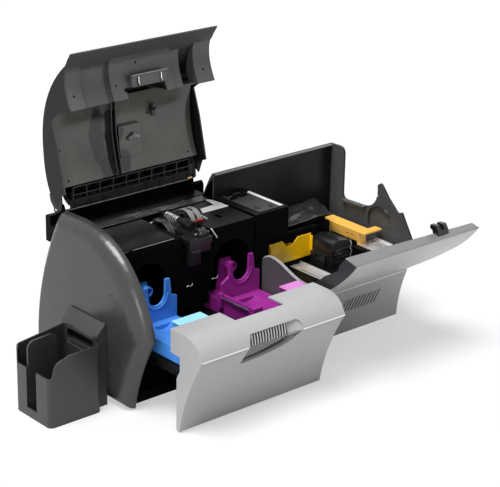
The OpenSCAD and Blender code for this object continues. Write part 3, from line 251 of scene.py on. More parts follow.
def moulded_plastic(name, colour, roughness, pebble=900.0, grain=10.0, rub=0.35, dust=0.02,
                    drift=0.06, edge=0.0007, shine=0.5):
    """A moulding: pebbled (grain in microns), uneven in gloss, rubbed at its edges and painted lighter
    there as a highlight, dusty.
    """
    material, tree, surface = start_material(name)
    texture = place_group(tree, mould_texture, Pebble_scale=pebble).outputs
    edges = place_group(tree, edge_rub, Edge_radius=edge, Roll_radius=edge).outputs
    film = place_group(tree, settled_dust).outputs
    body = blend(tree, texture["Drift"], shaded(colour, 1 - drift), shaded(colour, 1 + drift))
    # Wear and painted highlight: rubbed edges take a lighter colour
    rubbing = reckon(tree, "MULTIPLY", edges["Rubbed and highlit"], rub)
    rubbed = blend(tree, rubbing, body, shaded(colour, 1.25, 0.02))
    dusting = reckon(tree, "MULTIPLY", film["Dust"], dust)
    tree.links.new(blend(tree, dusting, rubbed, DUST), surface.inputs["Base Color"])
    gloss = lay(tree, "ShaderNodeMapRange",
                {"Value": texture["Drift"], "To Min": roughness - 0.05, "To Max": roughness + 0.06})
    gloss_rubbed = reckon(tree, "MULTIPLY_ADD", rubbing, RUBBING_DULLS, gloss.outputs["Result"])
    gloss_dusted = reckon(tree, "MULTIPLY_ADD", dusting, DUST_DULLS, gloss_rubbed, clamp=True)
    tree.links.new(gloss_dusted, surface.inputs["Roughness"])
    emboss(tree, surface, grain * MICRON, texture["Height"], edges["Rounded"])
    surface.inputs["Specular IOR Level"].default_value = shine
    return material


# Curved faces are shaded smooth, and a real crease stays crisp
CREASE = math.radians(33)
smooth_curves = bpy.data.node_groups.new("smooth curves", "GeometryNodeTree")
for way in ("INPUT", "OUTPUT"):
    smooth_curves.interface.new_socket("Mesh", in_out=way, socket_type="NodeSocketGeometry")
bare = lay(smooth_curves, "GeometryNodeRemoveAttribute",
           {"Geometry": smooth_curves.nodes.new("NodeGroupInput").outputs[0],
            "Name": "custom_normal"})
all_smooth = lay(smooth_curves, "GeometryNodeSetShadeSmooth",
                 {"Geometry": bare.outputs["Geometry"]}, domain="FACE")
bend_angle = lay(smooth_curves, "GeometryNodeInputMeshEdgeAngle").outputs["Unsigned Angle"]
sharp = reckon(smooth_curves, "GREATER_THAN", bend_angle, CREASE)
creased = lay(smooth_curves, "GeometryNodeSetShadeSmooth",
              {"Geometry": all_smooth.outputs["Geometry"], "Selection": sharp,
               "Shade Smooth": False}, domain="EDGE")
smooth_curves.links.new(creased.outputs["Geometry"],
                        smooth_curves.nodes.new("NodeGroupOutput").inputs[0])

JOIN_WITHIN = 0.00002
FLAT_WITHIN = math.radians(0.4)


def round_edges(piece, radius, steps=2):
    edge = piece.modifiers.new("edge_radius", "BEVEL")
    edge.limit_method = "ANGLE"
    edge.angle_limit = CREASE
    edge.width = radius
    edge.segments = steps
    edge.harden_normals = True


def finish(material, radius, *nodes, steps=2):
    """Gives CAD pieces a material, smooth curves and the edge radius of their tool."""
    for node in nodes:
        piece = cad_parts[node]
        for slot in piece.material_slots:
            slot.material = material
        piece.modifiers.new("joined_facets", "WELD").merge_threshold = JOIN_WITHIN
        flat = piece.modifiers.new("flat_faces", "DECIMATE")
        flat.decimate_type = "DISSOLVE"
        flat.angle_limit = FLAT_WITHIN
        piece.modifiers.new("smooth_curves", "NODES").node_group = smooth_curves
        if radius:
            round_edges(piece, radius, steps)


black_chassis = moulded_plastic("black_chassis_moulding", grey(0.0035, 0.03), 0.27, pebble=700,
                                grain=20, dust=0.012, shine=0.03, rub=0.6)
finish(black_chassis, 0.0006, "base_pan")

# ----------
# Rubber feet: five soft discs, moulded in one shot and pressed into the
# underside of the pan. Their faces are matt and pick up lint.
foot_rubber = moulded_plastic("foot_rubber", grey(0.012), 0.8, pebble=350, grain=50, dust=0.2,
                              shine=0.3)
finish(foot_rubber, 0.0006, "rubber_feet")

# ----------
# Left end cap and its disc: a charcoal ABS shell with a deep soft rim, screwed
# on from inside. A black plate behind it closes the ribbon bay.
CAP_THICK = 25.0
CAP_ROLL = 26.0
CAP_ROLL_SWING = 13.0
CAP_MIDDLE = Vector((118.0, 128.0))
CAP_STEPS = 14
CAP_SPOKES = 200
CAP_STEEPEST = 1.9
CALMING_ROUNDS = 60
DISC_AT = (29.0, 193.0)
DISC_HOLE = 13.2
DISC_SIDES = 48
SLOT = ((52.0, 104.0), (138.0, 104.0), (138.0, 122.0), (52.0, 122.0))
RECESS = 4.0


MM = 1000.0
DATUM_X, DATUM_Y = 304.0, 130.5


def at(x, y, z):
    """A place on the works drawing, in millimetres from the cap's inner face and the front."""
    return Vector((x - DATUM_X, y - DATUM_Y, z)) / MM


def add_piece(name, shape, material, body, radius=0):
    """Puts a finished shape on the body that carries it, and breaks its edges."""
    shape.name = name
    piece = bpy.data.objects.new(name, shape)
    bpy.context.scene.collection.objects.link(piece)
    shape.materials.append(material)
    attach(piece, body)
    if radius:
        round_edges(piece, radius)
    return piece


def shade_curves(mesh):
    """Curves shade smooth, and real creases stay crisp."""
    for polygon in mesh.polygons:
        polygon.use_smooth = True
    mesh.set_sharp_from_angle(angle=CREASE)
    return mesh


# The cap's skin follows the outline of its own back edge, with a deep roll that
# runs out into the flat face, and is pierced for the disc and the card slot.
SIDE_WALL = 0.9
cap_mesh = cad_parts["left_end_cap"].data
back_plane = at(0, 0, 0)
back_edge = set()
for polygon in cap_mesh.polygons:
    spots = [cap_mesh.vertices[v].co - back_plane for v in polygon.vertices]
    middle = sum((Vector((s.y, s.z)) * MM for s in spots), Vector((0, 0))) / len(spots)
    outward = Vector((polygon.normal.y, polygon.normal.z))
    if abs(polygon.normal.x) < SIDE_WALL and outward.dot(middle - CAP_MIDDLE) > 0:
        back_edge |= {(round(s.y * MM, 2), round(s.z * MM, 2))
                      for s in spots if abs(s.x) < 1e-5}
back_edge = sorted((Vector(p) - CAP_MIDDLE for p in back_edge),
                   key=lambda p: math.atan2(p.y, p.x))
corner_angles = [math.atan2(p.y, p.x) for p in back_edge]
even_angles = [math.tau * k / CAP_SPOKES - math.pi for k in range(CAP_SPOKES)]
angles = sorted({round(t, 5) for t in corner_angles + even_angles})


def reach_at(angle):
    """How far the cap's back edge lies from its middle, in this direction."""
    after = next((k for k, t in enumerate(corner_angles) if t > angle), 0)
    near, far = back_edge[after - 1], back_edge[after]
    ray = Vector((math.cos(angle), math.sin(angle)))
    side = far - near
    return (near.x * side.y - near.y * side.x) / (ray.x * side.y - ray.y * side.x)


reaches = [reach_at(t) for t in angles]
spokes = len(angles)
insets = []
for k in range(spokes):
    back, ahead = (k - 1) % spokes, (k + 1) % spokes
    step = (angles[ahead] - angles[back]) % math.tau
    slope = (reaches[ahead] - reaches[back]) / max(step, 1e-4)
    steepness = min(CAP_STEEPEST, math.hypot(1.0, slope / reaches[k]))
    insets.append((CAP_ROLL - CAP_ROLL_SWING * math.cos(angles[k])) * steepness)
for _ in range(CALMING_ROUNDS):
    insets = [(insets[k - 1] + 2 * insets[k] + insets[(k + 1) % spokes]) / 4
              for k in range(spokes)]
cap = bmesh.new()
rows = []
for step in range(CAP_STEPS + 1):
    turn_by = math.pi / 2 * step / CAP_STEPS
    depth, drawn_in = -CAP_THICK * math.sin(turn_by), 1 - math.cos(turn_by)
    rows.append([cap.verts.new(at(depth, CAP_MIDDLE.x + (r - i * drawn_in) * math.cos(t),
                                  CAP_MIDDLE.y + (r - i * drawn_in) * math.sin(t)))
                 for t, r, i in zip(angles, reaches, insets)])
for near, far in zip(rows, rows[1:]):
    for k in range(spokes):
        n = (k + 1) % spokes
        cap.faces.new((near[k], near[n], far[n], far[k]))
cap.faces.new(rows[0])
disc_rim = [(DISC_AT[0] + DISC_HOLE * math.cos(math.tau * k / DISC_SIDES),
             DISC_AT[1] + DISC_HOLE * math.sin(math.tau * k / DISC_SIDES))
            for k in range(DISC_SIDES)]
rims = [rows[-1]]
for hole in (disc_rim, SLOT):
    lip = [cap.verts.new(at(-CAP_THICK, y, z)) for y, z in hole]
    foot = [cap.verts.new(at(-CAP_THICK + RECESS, y, z)) for y, z in hole]
    for k in range(len(hole)):
        n = (k + 1) % len(hole)
        cap.faces.new((lip[k], lip[n], foot[n], foot[k]))
    cap.faces.new(foot)
    rims.append(lip)
rim_edges = [cap.edges.get((rim[k - 1], rim[k])) or cap.edges.new((rim[k - 1], rim[k]))
             for rim in rims for k in range(len(rim))]
bmesh.ops.triangle_fill(cap, use_beauty=True, use_dissolve=False, edges=rim_edges)
bmesh.ops.recalc_face_normals(cap, faces=cap.faces)
cap_skin = bpy.data.meshes.new("shape")
cap.to_mesh(cap_skin)
cap.free()
cap_charcoal = moulded_plastic("cap_charcoal_moulding", grey(0.030, 0.012), 0.25, pebble=1300,
                               grain=8, drift=0.05, edge=0.0012, shine=0.55)
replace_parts(add_piece("left_end_cap_skin", shade_curves(cap_skin), cap_charcoal, "frame"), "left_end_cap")
charcoal = moulded_plastic("charcoal_moulding", grey(0.032, 0.01), 0.27, pebble=1100, grain=12,
                           dust=0.03, drift=0.04, edge=0.0015, shine=0.45)
finish(charcoal, 0.0005, "cap_disc")
finish(black_chassis, 0.0008, "left_inner_plate")

# ----------
# Rear shell, partition and hinge block: the shell is charcoal like the cap, the
# block is black glass filled nylon, and two steel pins carry the cover.
finish(charcoal, 0.0010, "rear_shell")
finish(black_chassis, 0.0010, "hinge_block")
finish(black_chassis, 0.0006, "partition")

# Long fine scratches that a drawing die or a wire wheel leaves
brushed_grain, dial, result = start_group(
    "brushed grain", {"Across": 900.0, "Along": 14.0}, {"Scratch": "Float", "Haze": "Float"})
spot = lay(brushed_grain, "ShaderNodeTexCoord").outputs["Object"]
stretch = lay(brushed_grain, "ShaderNodeCombineXYZ",
              {"X": dial["Along"], "Y": dial["Across"], "Z": dial["Across"]})
drawn = lay(brushed_grain, "ShaderNodeVectorMath", {0: spot, 1: stretch.outputs["Vector"]},
            operation="MULTIPLY")
scratch = lay(brushed_grain, "ShaderNodeTexNoise",
              {"Vector": drawn.outputs["Vector"], "Scale": 1.0, "Detail": 3.0})
haze = lay(brushed_grain, "ShaderNodeTexNoise",
           {"Vector": spot, "Scale": 38.0, "Detail": 5.0, "Roughness": 0.6})
brushed_grain.links.new(scratch.outputs["Fac"], result["Scratch"])
brushed_grain.links.new(haze.outputs["Fac"], result["Haze"])

HAZE_DULLS, SCRATCHES_DULL = 0.12, 0.10
SCRATCH_DEEP = 12 * MICRON


def plated_metal(name, colour, roughness, tarnish=0.25, across=900.0, along=14.0):
    """Sheet or drawn metal: brushed one way, hazed in patches, brighter at rubbed edges as wear and a
    painted highlight.
    """
    material, tree, surface = start_material(name)
    surface.inputs["Metallic"].default_value = 1.0
    grain = place_group(tree, brushed_grain, Across=across, Along=along).outputs
    edges = place_group(tree, edge_rub, Edge_radius=0.0005).outputs
    hazed = ranged(tree, grain["Haze"], 0.38, 0.66)
    body = blend(tree, hazed, colour, shaded(colour, 1 - tarnish))
    # Wear and painted highlight: rubbed edges take a brighter colour
    worn_and_highlit = blend(tree, edges["Rubbed and highlit"], body, shaded(colour, 1.15, 0.05))
    tree.links.new(worn_and_highlit, surface.inputs["Base Color"])
    gloss = reckon(tree, "MULTIPLY_ADD", hazed, HAZE_DULLS, roughness)
    fine = reckon(tree, "MULTIPLY_ADD", grain["Scratch"], SCRATCHES_DULL, gloss, clamp=True)
    tree.links.new(fine, surface.inputs["Roughness"])
    emboss(tree, surface, SCRATCH_DEEP, grain["Scratch"], edges["Rounded"])
    return material


bright_steel = plated_metal("bright_drawn_steel", (0.72, 0.73, 0.75, 1.0), 0.18)
finish(bright_steel, 0.0003, "cover_hinge_pins")

# ----------
# Ribbon housing, shelf and slide channels: one black moulding with two arched
# bays. A glossy lid closes its left bay, and an apron behind it hides the wiring.
finish(black_chassis, 0.0010, "ribbon_housing")
finish(black_chassis, 0.0005, "shelf_plate")
black_oxide = plated_metal("black_oxide_steel", (0.035, 0.035, 0.037, 1.0), 0.34)
finish(black_oxide, 0.0004, "slide_channels")


def smooth_mesh(points, faces):
    """A mesh whose curves shade smooth and whose real creases stay crisp."""
    mesh = bpy.data.meshes.new("shape")
    mesh.from_pydata(points, [], faces)
    tidy = bmesh.new()
    tidy.from_mesh(mesh)
    bmesh.ops.recalc_face_normals(tidy, faces=tidy.faces)
    tidy.to_mesh(mesh)
    tidy.free()
    return shade_curves(mesh)


def skins(*shells):
    """One mesh of skins, each over its own rings of points and closed at both ends."""
    points, faces = [], []
    for rings in shells:
        first, size = len(points), len(rings[0])
        points += [p for ring in rings for p in ring]
        for k in range(first, len(points) - size, size):
            faces += [(k + i, k + (i + 1) % size, k + size + (i + 1) % size, k + size + i)
                      for i in range(size)]
        faces += [tuple(range(first, first + size)), tuple(range(len(points) - size, len(points)))]
    return smooth_mesh(points, faces)


def loft(*shells):
    """The same, over places on the drawing."""
    return skins(*([[at(*p) for p in ring] for ring in rings] for rings in shells))


def strip_along_x(name, x, line, material, body, radius=0.0005):
    """A section of (y, z) points drawn out along the front."""
    shape = loft([[(a, b, c) for b, c in line] for a in x])
    add_piece(name, shape, material, body, radius)


def box_line(y, z):
    return [(y[0], z[0]), (y[1], z[0]), (y[1], z[1]), (y[0], z[1])]


def bar(name, x, y, z, material, body, radius=0.0005):
    """A squared bar between two corners on the drawing."""
    strip_along_x(name, x, box_line(y, z), material, body, radius)


def wire(name, path, radius, material, body):
    """Round wire or rod along places on the drawing."""
    curve = bpy.data.curves.new("run", "CURVE")
    curve.dimensions = "3D"
    curve.bevel_depth = radius
    curve.bevel_resolution = 3
    curve.resolution_u = 6
    curve.use_fill_caps = True
    run = curve.splines.new("POLY")
    run.points.add(len(path) - 1)
    for point, place in zip(run.points, path):
        point.co = (*at(*place), 1.0)
    add_piece(name, curve, material, body)


def lay_foil(name, rows, runs, points, gauge, material):
    """A thin foil over a grid of places."""
    wide = runs + 1
    faces = [(near + run, near + run + 1, near + wide + run + 1, near + wide + run)
             for near in range(0, rows * wide, wide) for run in range(runs)]
    foil = add_piece(name, smooth_mesh(points, faces), material, "frame")
    foil.modifiers.new("foil_gauge", "SOLIDIFY").thickness = gauge


strip_along_x("hinge_cowl", (319.5, 350),
              [(246, 232), (246, 258), (248, 265), (253, 268), (257.5, 265), (257.5, 232)],
              black_chassis, "frame", 0.0015)
lid_gloss = moulded_plastic("lid_gloss_moulding", grey(0.012, 0.04), 0.12, pebble=500, grain=4,
                            dust=0.06, shine=0.6)
strip_along_x("left_bay_lid", (22, 134),
              [(63, 258.2), (112, 258.2), (112, 261.0), (70, 260.6), (64.5, 258.9)],
              lid_gloss, "frame", 0.0008)
# Painted highlight: a pale strip along the lid's front edge stands for the light that edge catches
lid_edge_highlight_grey = moulded_plastic("lid_edge_highlight_moulding", grey(0.20), 0.2, pebble=500, grain=4)
strip_along_x("lid_front_edge_highlight", (44, 133),
              [(61.4, 257.4), (61.4, 259.2), (63.4, 260.0), (64.6, 258.6)],
              lid_edge_highlight_grey, "frame", 0.0004)

# Smoked apron foil: long crinkles run with the housing
apron_foil = moulded_plastic("smoked_foil", grey(0.010), 0.22, pebble=120, grain=400, dust=0.05)
APRON_ROWS, APRON_RUNS = 26, 60
APRON_LONG, APRON_DEEP = 288.0, 24.0
random.seed(11)
apron_points = []
for row in range(APRON_ROWS + 1):
    back = row / APRON_ROWS
    for run in range(APRON_RUNS + 1):
        across = run / APRON_RUNS
        ripple = (0.9 * math.sin(back * 19 + 2.2 * math.sin(across * 5.1))
                  + 0.5 * math.sin(back * 41 + across * 9))
        apron_points.append(at(22 + APRON_LONG * across, 180 + APRON_DEEP * back,
                               259.4 + 0.5 * ripple + 0.35 * random.random()))
lay_foil("apron_foil", APRON_ROWS, APRON_RUNS, apron_points, 0.0004, apron_foil)

# Plated brackets and spring clips on the housing
plated = plated_metal("zinc_plated_sheet", (0.74, 0.745, 0.75, 1.0), 0.42, tarnish=0.12)
bar("head_bracket_edge", (236, 238), (101, 147), (258, 262.5), plated, "frame",
    0.0004)
stay_rings = [[(x, 58.6, z), (x + 2.4, 58.6, z + 1), (x + 2.4, 61, z + 1), (x, 61, z)]
              for x, z in ((211, 259.5), (224.6, 239.8))]
add_piece("head_stay", loft(stay_rings), plated, "frame")
CLIP_BENDS = ((0, 60.5, 163.5), (3, 59, 166.5), (6, 58.5, 164.5), (10, 58.5, 165.5),
              (12, 59.5, 168.5), (14, 61, 166.5))
for number, clip_x in enumerate((159, 216), 1):
    wire(f"bay_clip_{number}", [(clip_x + x, y, z) for x, y, z in CLIP_BENDS], 0.0006, plated,
         "frame")
SHEET_OUTLINE = ((252, 131), (312, 131), (312, 150), (308, 176), (300, 182), (296, 152), (262, 150))
sheet_rings = [[(x, y, z) for x, y in SHEET_OUTLINE] for z in (258.3, 259.5)]
add_piece("ribbon_guide_sheet", loft(sheet_rings), plated, "frame", 0.0003)

# ----------
# Print head: a black arm on a steel rod, pressed down by a coil spring. A forked
# head hangs from its end, and two grey flex ribbons loop up behind it.
head_black = moulded_plastic("head_black_moulding", grey(0.008), 0.24, pebble=800, dust=0.03)
finish(head_black, 0.0008, "head_arm", "head_block")
finish(bright_steel, 0.0003, "head_rod")
spring_steel = plated_metal("music_wire", (0.80, 0.78, 0.74, 1.0), 0.20, tarnish=0.2)
finish(spring_steel, 0, "head_spring")


def turned(name, profile, start, end, material, body, sides=40):
    """A turned part: (distance along, radius) in millimetres on an axis between two places."""
    first, last = at(*start), at(*end)
    axis = (last - first).normalized()
    side = axis.orthogonal().normalized()
    up = axis.cross(side)
    turns = [math.tau * k / sides for k in range(sides)]
    rings = [[first + axis * along / MM + (side * math.cos(t) + up * math.sin(t)) * reach / MM
              for t in turns] for along, reach in profile]
    add_piece(name, skins(rings), material, body)


COLLAR_PITCH = 2.6
collar_steps = []
for ring in range(7):
    start = ring * COLLAR_PITCH
    collar_steps += [(start, 8.6), (start + 1.5, 8.6), (start + 1.7, 7.2), (start + 2.5, 7.2)]
turned("head_collar", collar_steps, (192, 92, 262), (192, 110, 262), head_black, "head")
KNUCKLE = ((0, 4.0), (0, 9.0), (1.5, 10.5), (5, 10.5), (6, 9.0), (9, 9.0), (10, 10.5), (14.5, 10.5),
           (16, 9.0), (16, 4.0))
turned("head_knuckle", KNUCKLE, (184, 64, 255), (200, 64, 255), head_black, "head")
for number, x in enumerate((181, 201), 1):
    bar(f"head_fork_{number}", (x, x + 3.2), (54, 68), (226, 259), head_black, "head",
        0.0008)
wire("head_pin", [(178, 63, 255), (208, 63, 255)], 0.0022, bright_steel, "head")

ribbon_grey = moulded_plastic("flex_ribbon_polyimide", (0.17, 0.165, 0.16, 1.0), 0.24, pebble=300,
                              grain=15, shine=0.6, drift=0.15)
ribbon_dark = moulded_plastic("flex_ribbon_dark", grey(0.03), 0.3, pebble=300, grain=15, drift=0.15)
ribbon_red = moulded_plastic("ribbon_edge_red", (0.30, 0.02, 0.02, 1.0), 0.4, pebble=500)
finish(ribbon_dark, 0, "flex_cables")
FLEX_LOOP = ((104, 259), (106, 265), (111, 271), (119, 275.5), (129, 277), (140, 274.5),
             (149, 269), (155, 263), (157, 259))
FLEX_WIDE = 10.0
FLEX_HALF_GAUGE = 0.5
FLEX_RIBS = (0.0, 0.35, 0.0, 0.35, 0.0, 0.35, 0.0)
around = (FLEX_LOOP[0], *FLEX_LOOP, FLEX_LOOP[-1])
for number, flex_x in enumerate((205, 219), 1):
    rings = []
    for before, (y, z), after in zip(around, FLEX_LOOP, around[2:]):
        run = Vector((after[0] - before[0], after[1] - before[1])).normalized()
        lanes = [(flex_x + FLEX_WIDE * i / (len(FLEX_RIBS) - 1), FLEX_HALF_GAUGE + rib)
                 for i, rib in enumerate(FLEX_RIBS)]
        top = [(x, y - run.y * lift, z + run.x * lift) for x, lift in lanes]
        foot = [(x, y + run.y * FLEX_HALF_GAUGE, z - run.x * FLEX_HALF_GAUGE)
                for x, _ in reversed(lanes)]
        rings.append(top + foot)
    flex = add_piece(f"head_flex_{number}", loft(rings), ribbon_grey, "frame")
    smoother = flex.modifiers.new("bent_smooth", "SUBSURF")
    smoother.levels = smoother.render_levels = 2
    bar(f"flex_plug_{number}", (flex_x - 0.6, flex_x + 10.6), (101.5, 106), (258, 262.5),
        ribbon_red, "frame")

# ----------
# Transfer box and its bracket plate: a black moulding with a dull stamped plate
# on its roof. A bare white flat cable is taped beside the plate.
finish(black_chassis, 0.0008, "transfer_box")
dull_plate = plated_metal("dull_stamped_plate", (0.085, 0.086, 0.085, 1.0), 0.42, tarnish=0.3,
                          across=500, along=40)
finish(dull_plate, 0.0004, "bracket_plate")
white_film = moulded_plastic("white_ribbon_film", grey(0.62), 0.35, pebble=200, grain=20, dust=0.1,
                             drift=0.05)
finish(white_film, 0.0002, "flat_cable")
ROOF_RIBS = ((334, 150), (346, 158), (358, 152), (370, 164), (340, 170), (366, 178))
for number, (x, y) in enumerate(ROOF_RIBS, 1):
    bar(f"roof_rib_{number}", (x, x + 16), (y, y + 3), (259.6, 264), black_chassis, "frame")
SCREW_HEAD = ((0, 3.6), (1.0, 3.6), (1.8, 2.9), (2.1, 1.6), (1.2, 1.2))
for number, (x, y) in enumerate(((344, 92), (372, 84), (374, 160)), 1):
    turned(f"roof_screw_{number}", SCREW_HEAD, (x, y, 259.5), (x, y, 262), black_oxide, "frame",
           20)

# ----------
# Encoder block: a black housing beside the card guide. Ribs stiffen its face and
# a bright contact spring runs down its right side.
finish(head_black, 0.0010, "encoder_block")
for number, z in enumerate((133, 141, 149, 157), 1):
    bar(f"encoder_rib_{number}", (486, 524), (33.6, 37), (z, z + 2.4), head_black, "frame")
ENCODER_BOSS = ((0, 9.5), (3, 9.5), (3.6, 8.6), (3.6, 4.0), (6.5, 4.0), (7.0, 3.2))
turned("encoder_boss", ENCODER_BOSS, (498, 36, 150), (498, 28, 150), head_black, "frame")
wire("encoder_contact", [(527, 34.5, 172), (529, 32.5, 164), (527, 34, 157), (530, 32, 150),
                         (528, 33.5, 142), (530, 33, 132)], 0.0012, bright_steel, "frame")

# ----------
# Feeder deck, rails and card wall: the deck and wall are black ABS. Two zinc plated
# strips carry the cards, two rubber rollers feed them, and a crinkled smoked foil
# covers the feed block.
finish(black_chassis, 0.0008, "feeder_deck", "card_wall", "feed_block")
finish(plated, 0.0003, "rail_plate_left", "rail_plate_right")
roller_rubber = moulded_plastic("feed_roller_rubber", grey(0.016), 0.6, pebble=260, grain=60,
                                dust=0.25, shine=0.3)
finish(roller_rubber, 0.0004, "feed_roller_left", "feed_roller_right")

# Crinkled foil: a skewed sheet, its far edge further right, lifted along creases
FOIL_ROWS, FOIL_RUNS = 34, 60
FOIL_CREASES = 16
CREASE_LIFT = 1.5
random.seed(23)
creases = [(random.random(), random.random(), random.uniform(0, math.pi), random.uniform(4, 13))
           for _ in range(FOIL_CREASES)]
foil_points = []
for row in range(FOIL_ROWS + 1):
    v = row / FOIL_ROWS
    for run in range(FOIL_RUNS + 1):
        u = run / FOIL_RUNS
        x = (1 - v) * (406 + 138 * u) + v * (494 + 83 * u)
        y = (1 - v) * (103 + 2 * u) + v * (182 + 3 * u)
        lift = 0.0
        for cu, cv, lean, reach in creases:
            away = abs((u - cu) * math.cos(lean) + (v - cv) * math.sin(lean))
            fade = math.exp(-3.5 * ((u - cu) ** 2 + (v - cv) ** 2))
            lift += CREASE_LIFT * max(0.0, 1 - away * reach) * fade
        foil_points.append(at(x, y, 199.2 + lift + 3.0 * math.sin(3.1 * v) * math.sin(3.1 * u)))
feed_foil = moulded_plastic("crinkled_smoked_foil", grey(0.018), 0.16, pebble=160, grain=200,
                            dust=0.05, shine=0.7)
lay_foil("feed_foil", FOIL_ROWS, FOIL_RUNS, foil_points, 0.0005, feed_foil)

# ----------
# Amber guide and card weight: both are injection moulded in amber ABS. The guide
# snaps into the wall and the weight swings on a steel pin.
amber = moulded_plastic("amber_moulding", (1.0, 0.55, 0.003, 1.0), 0.28, pebble=700, grain=8,
                        rub=0.3, drift=0.08)
amber_lever = moulded_plastic("amber_lever_moulding", (0.82, 0.47, 0.09, 1.0), 0.30, pebble=700,
                              grain=8, rub=0.3, drift=0.08)
finish(amber, 0.0007, "card_guide")
finish(amber_lever, 0.0007, "card_lever")
finish(bright_steel, 0.0003, "lever_pin")


# ----------
# Body shell: the rear wall and right side in one charcoal moulding. Its faces that look to the front are
# darkened with painted shade, and a black harness is clipped to it.
def tinted_by_facing(name, outside, inside, turn_from, turn_to, toward="X", **ways):
    """A moulding whose faces that look one way carry another shade."""
    material = moulded_plastic(name, outside, **ways)
    tree = material.node_tree
    base = tree.nodes["Principled BSDF"].inputs["Base Color"]
    normal = lay(tree, "ShaderNodeTexCoord").outputs["Normal"]
    facing = lay(tree, "ShaderNodeSeparateXYZ", {"Vector": normal}).outputs[toward]
    coat = ranged(tree, facing, turn_from, turn_to)
    tree.links.new(blend(tree, coat, base.links[0].from_socket, inside), base)
    return material


# Painted shade: faces that look to the front, such as the inside of the rear wall, are made nearly black
shell_front_shade = tinted_by_facing("charcoal_shell_painted_front_shade", grey(0.070, 0.01),
                           (0.008, 0.0078, 0.0074, 1.0), -0.5, -0.8, toward="Y", roughness=0.28,
                           pebble=1100, grain=20, shine=0.15)
finish(shell_front_shade, 0.0010, "body_shell")
# Painted highlight: a paler strip on the shell's top edge stands for the light falling on it
shell_top_highlight = moulded_plastic("shell_top_highlight_moulding", grey(0.11, 0.01), 0.34, pebble=1100, dust=0.1)
strip_along_x("shell_top_highlight_strip", (323, 614),
              [(179.6, 300.6), (180.2, 302.4), (184.6, 302.8), (184.6, 298.4)],
              shell_top_highlight, "frame", 0.0004)
harness = moulded_plastic("harness_sleeve", grey(0.006), 0.3, pebble=600, grain=20)
ARC_TURNS = 14
arc = []
for k in range(ARC_TURNS + 1):
    turn_by = math.radians(205 - 175 * k / ARC_TURNS)
    arc.append((622.0, 54 - 30 * math.cos(turn_by), 182 + 26 * math.sin(turn_by)))
wire("shell_harness", arc, 0.0016, harness, "frame")

# ----------
# Lower front panel: ABS in satin silver paint, with raked vents and a bead painted pale as a highlight,
# screwed to the pan. Two steel pins in its ears carry the flap.
silver = moulded_plastic("silver_satin_paint", grey(0.36, 0.008), 0.36, pebble=1500, grain=6,
                         drift=0.02, dust=0.01, rub=0.3, edge=0.0010)
finish(silver, 0.0009, "front_panel")
# Painted highlight: the beads on the panel and on the drawer are a pale paint for the light their tops
# catch
bead_highlight_silver = moulded_plastic("bead_painted_highlight", grey(0.66), 0.3, pebble=1500, grain=4, dust=0.01)
strip_along_x("panel_bead", (333, 624), [(-15.6, 99.8), (-18.2, 102.4), (-18.6, 104.0),
                                         (-17.4, 105.0), (-13.5, 103.0), (-13.5, 99.8)],
              bead_highlight_silver, "frame", 0.0003)


def bend_point(bend, share):
    """A point of a curve drawn with three (y, z) guides."""
    return [(1 - share) ** 2 * a + 2 * share * (1 - share) * b + share ** 2 * c
            for a, b, c in zip(*bend)]


# Painted shade: black screens fill the vents, and later the handle's well, where shade falls inside
vent_shade_black = moulded_plastic("vent_painted_shade", grey(0.008), 0.5, grain=20, dust=0.03,
                             shine=0.2)
PANEL_FOOT, PANEL_TOP = 19.0, 101.0
PANEL_BEND = ((0.0, PANEL_FOOT), (-1.0, 58.0), (-15.0, PANEL_TOP))
VENTS, VENT_PITCH, VENT_STEPS = 11, 8.4, 6
vent_shells = []
for vent in range(VENTS):
    rings = []
    for step in range(VENT_STEPS + 1):
        z = 50.4 + 25.2 * step / VENT_STEPS
        y = bend_point(PANEL_BEND, (z - PANEL_FOOT) / (PANEL_TOP - PANEL_FOOT))[0]
        x = 472.0 + VENT_PITCH * vent + 10.0 * (z - 50) / 26
        rings.append([(x + 0.2, y + 0.5, z), (x + 3.4, y + 0.5, z), (x + 3.4, y + 2.0, z),
                      (x + 0.2, y + 2.0, z)])
    vent_shells.append(rings)
add_piece("vent_shade_screens", loft(*vent_shells), vent_shade_black, "frame", 0.0002)
finish(bright_steel, 0.0003, "flap_hinge_pins")

# ----------
# Feeder flap: a silver skin with a flange along its free edge, let down on its
# pins. A grey cheek closes its left end and a black hook latches it.
flap_satin = tinted_by_facing("flap_satin_paint", grey(0.42, 0.008), grey(0.17, 0.008), 0.2, 0.5,
                           toward="Z", roughness=0.36, pebble=1500, grain=6, drift=0.02,
                           dust=0.01, rub=0.3, edge=0.0010)
finish(flap_satin, 0.0010, "feeder_flap")
cheek_grey = moulded_plastic("cheek_moulding", grey(0.026, 0.02), 0.34, dust=0.03)
finish(cheek_grey, 0.0006, "flap_cheek")
finish(head_black, 0.0006, "flap_hook")

# ----------
# Ribbon drawer: a silver front with a crease across it, a notch in its top and a
# ribbed handle pocket, on a black frame with two steel rails.
finish(silver, 0.0011, "drawer_front")
finish(black_chassis, 0.0006, "drawer_frame")
finish(black_oxide, 0.0004, "drawer_rails")
cheek_two_tone = tinted_by_facing("cheek_two_tone", grey(0.36, 0.008), grey(0.075, 0.01), -0.6, -0.85,
                               roughness=0.34, pebble=1100, dust=0.01)
finish(cheek_two_tone, 0.0006, "drawer_cheek")
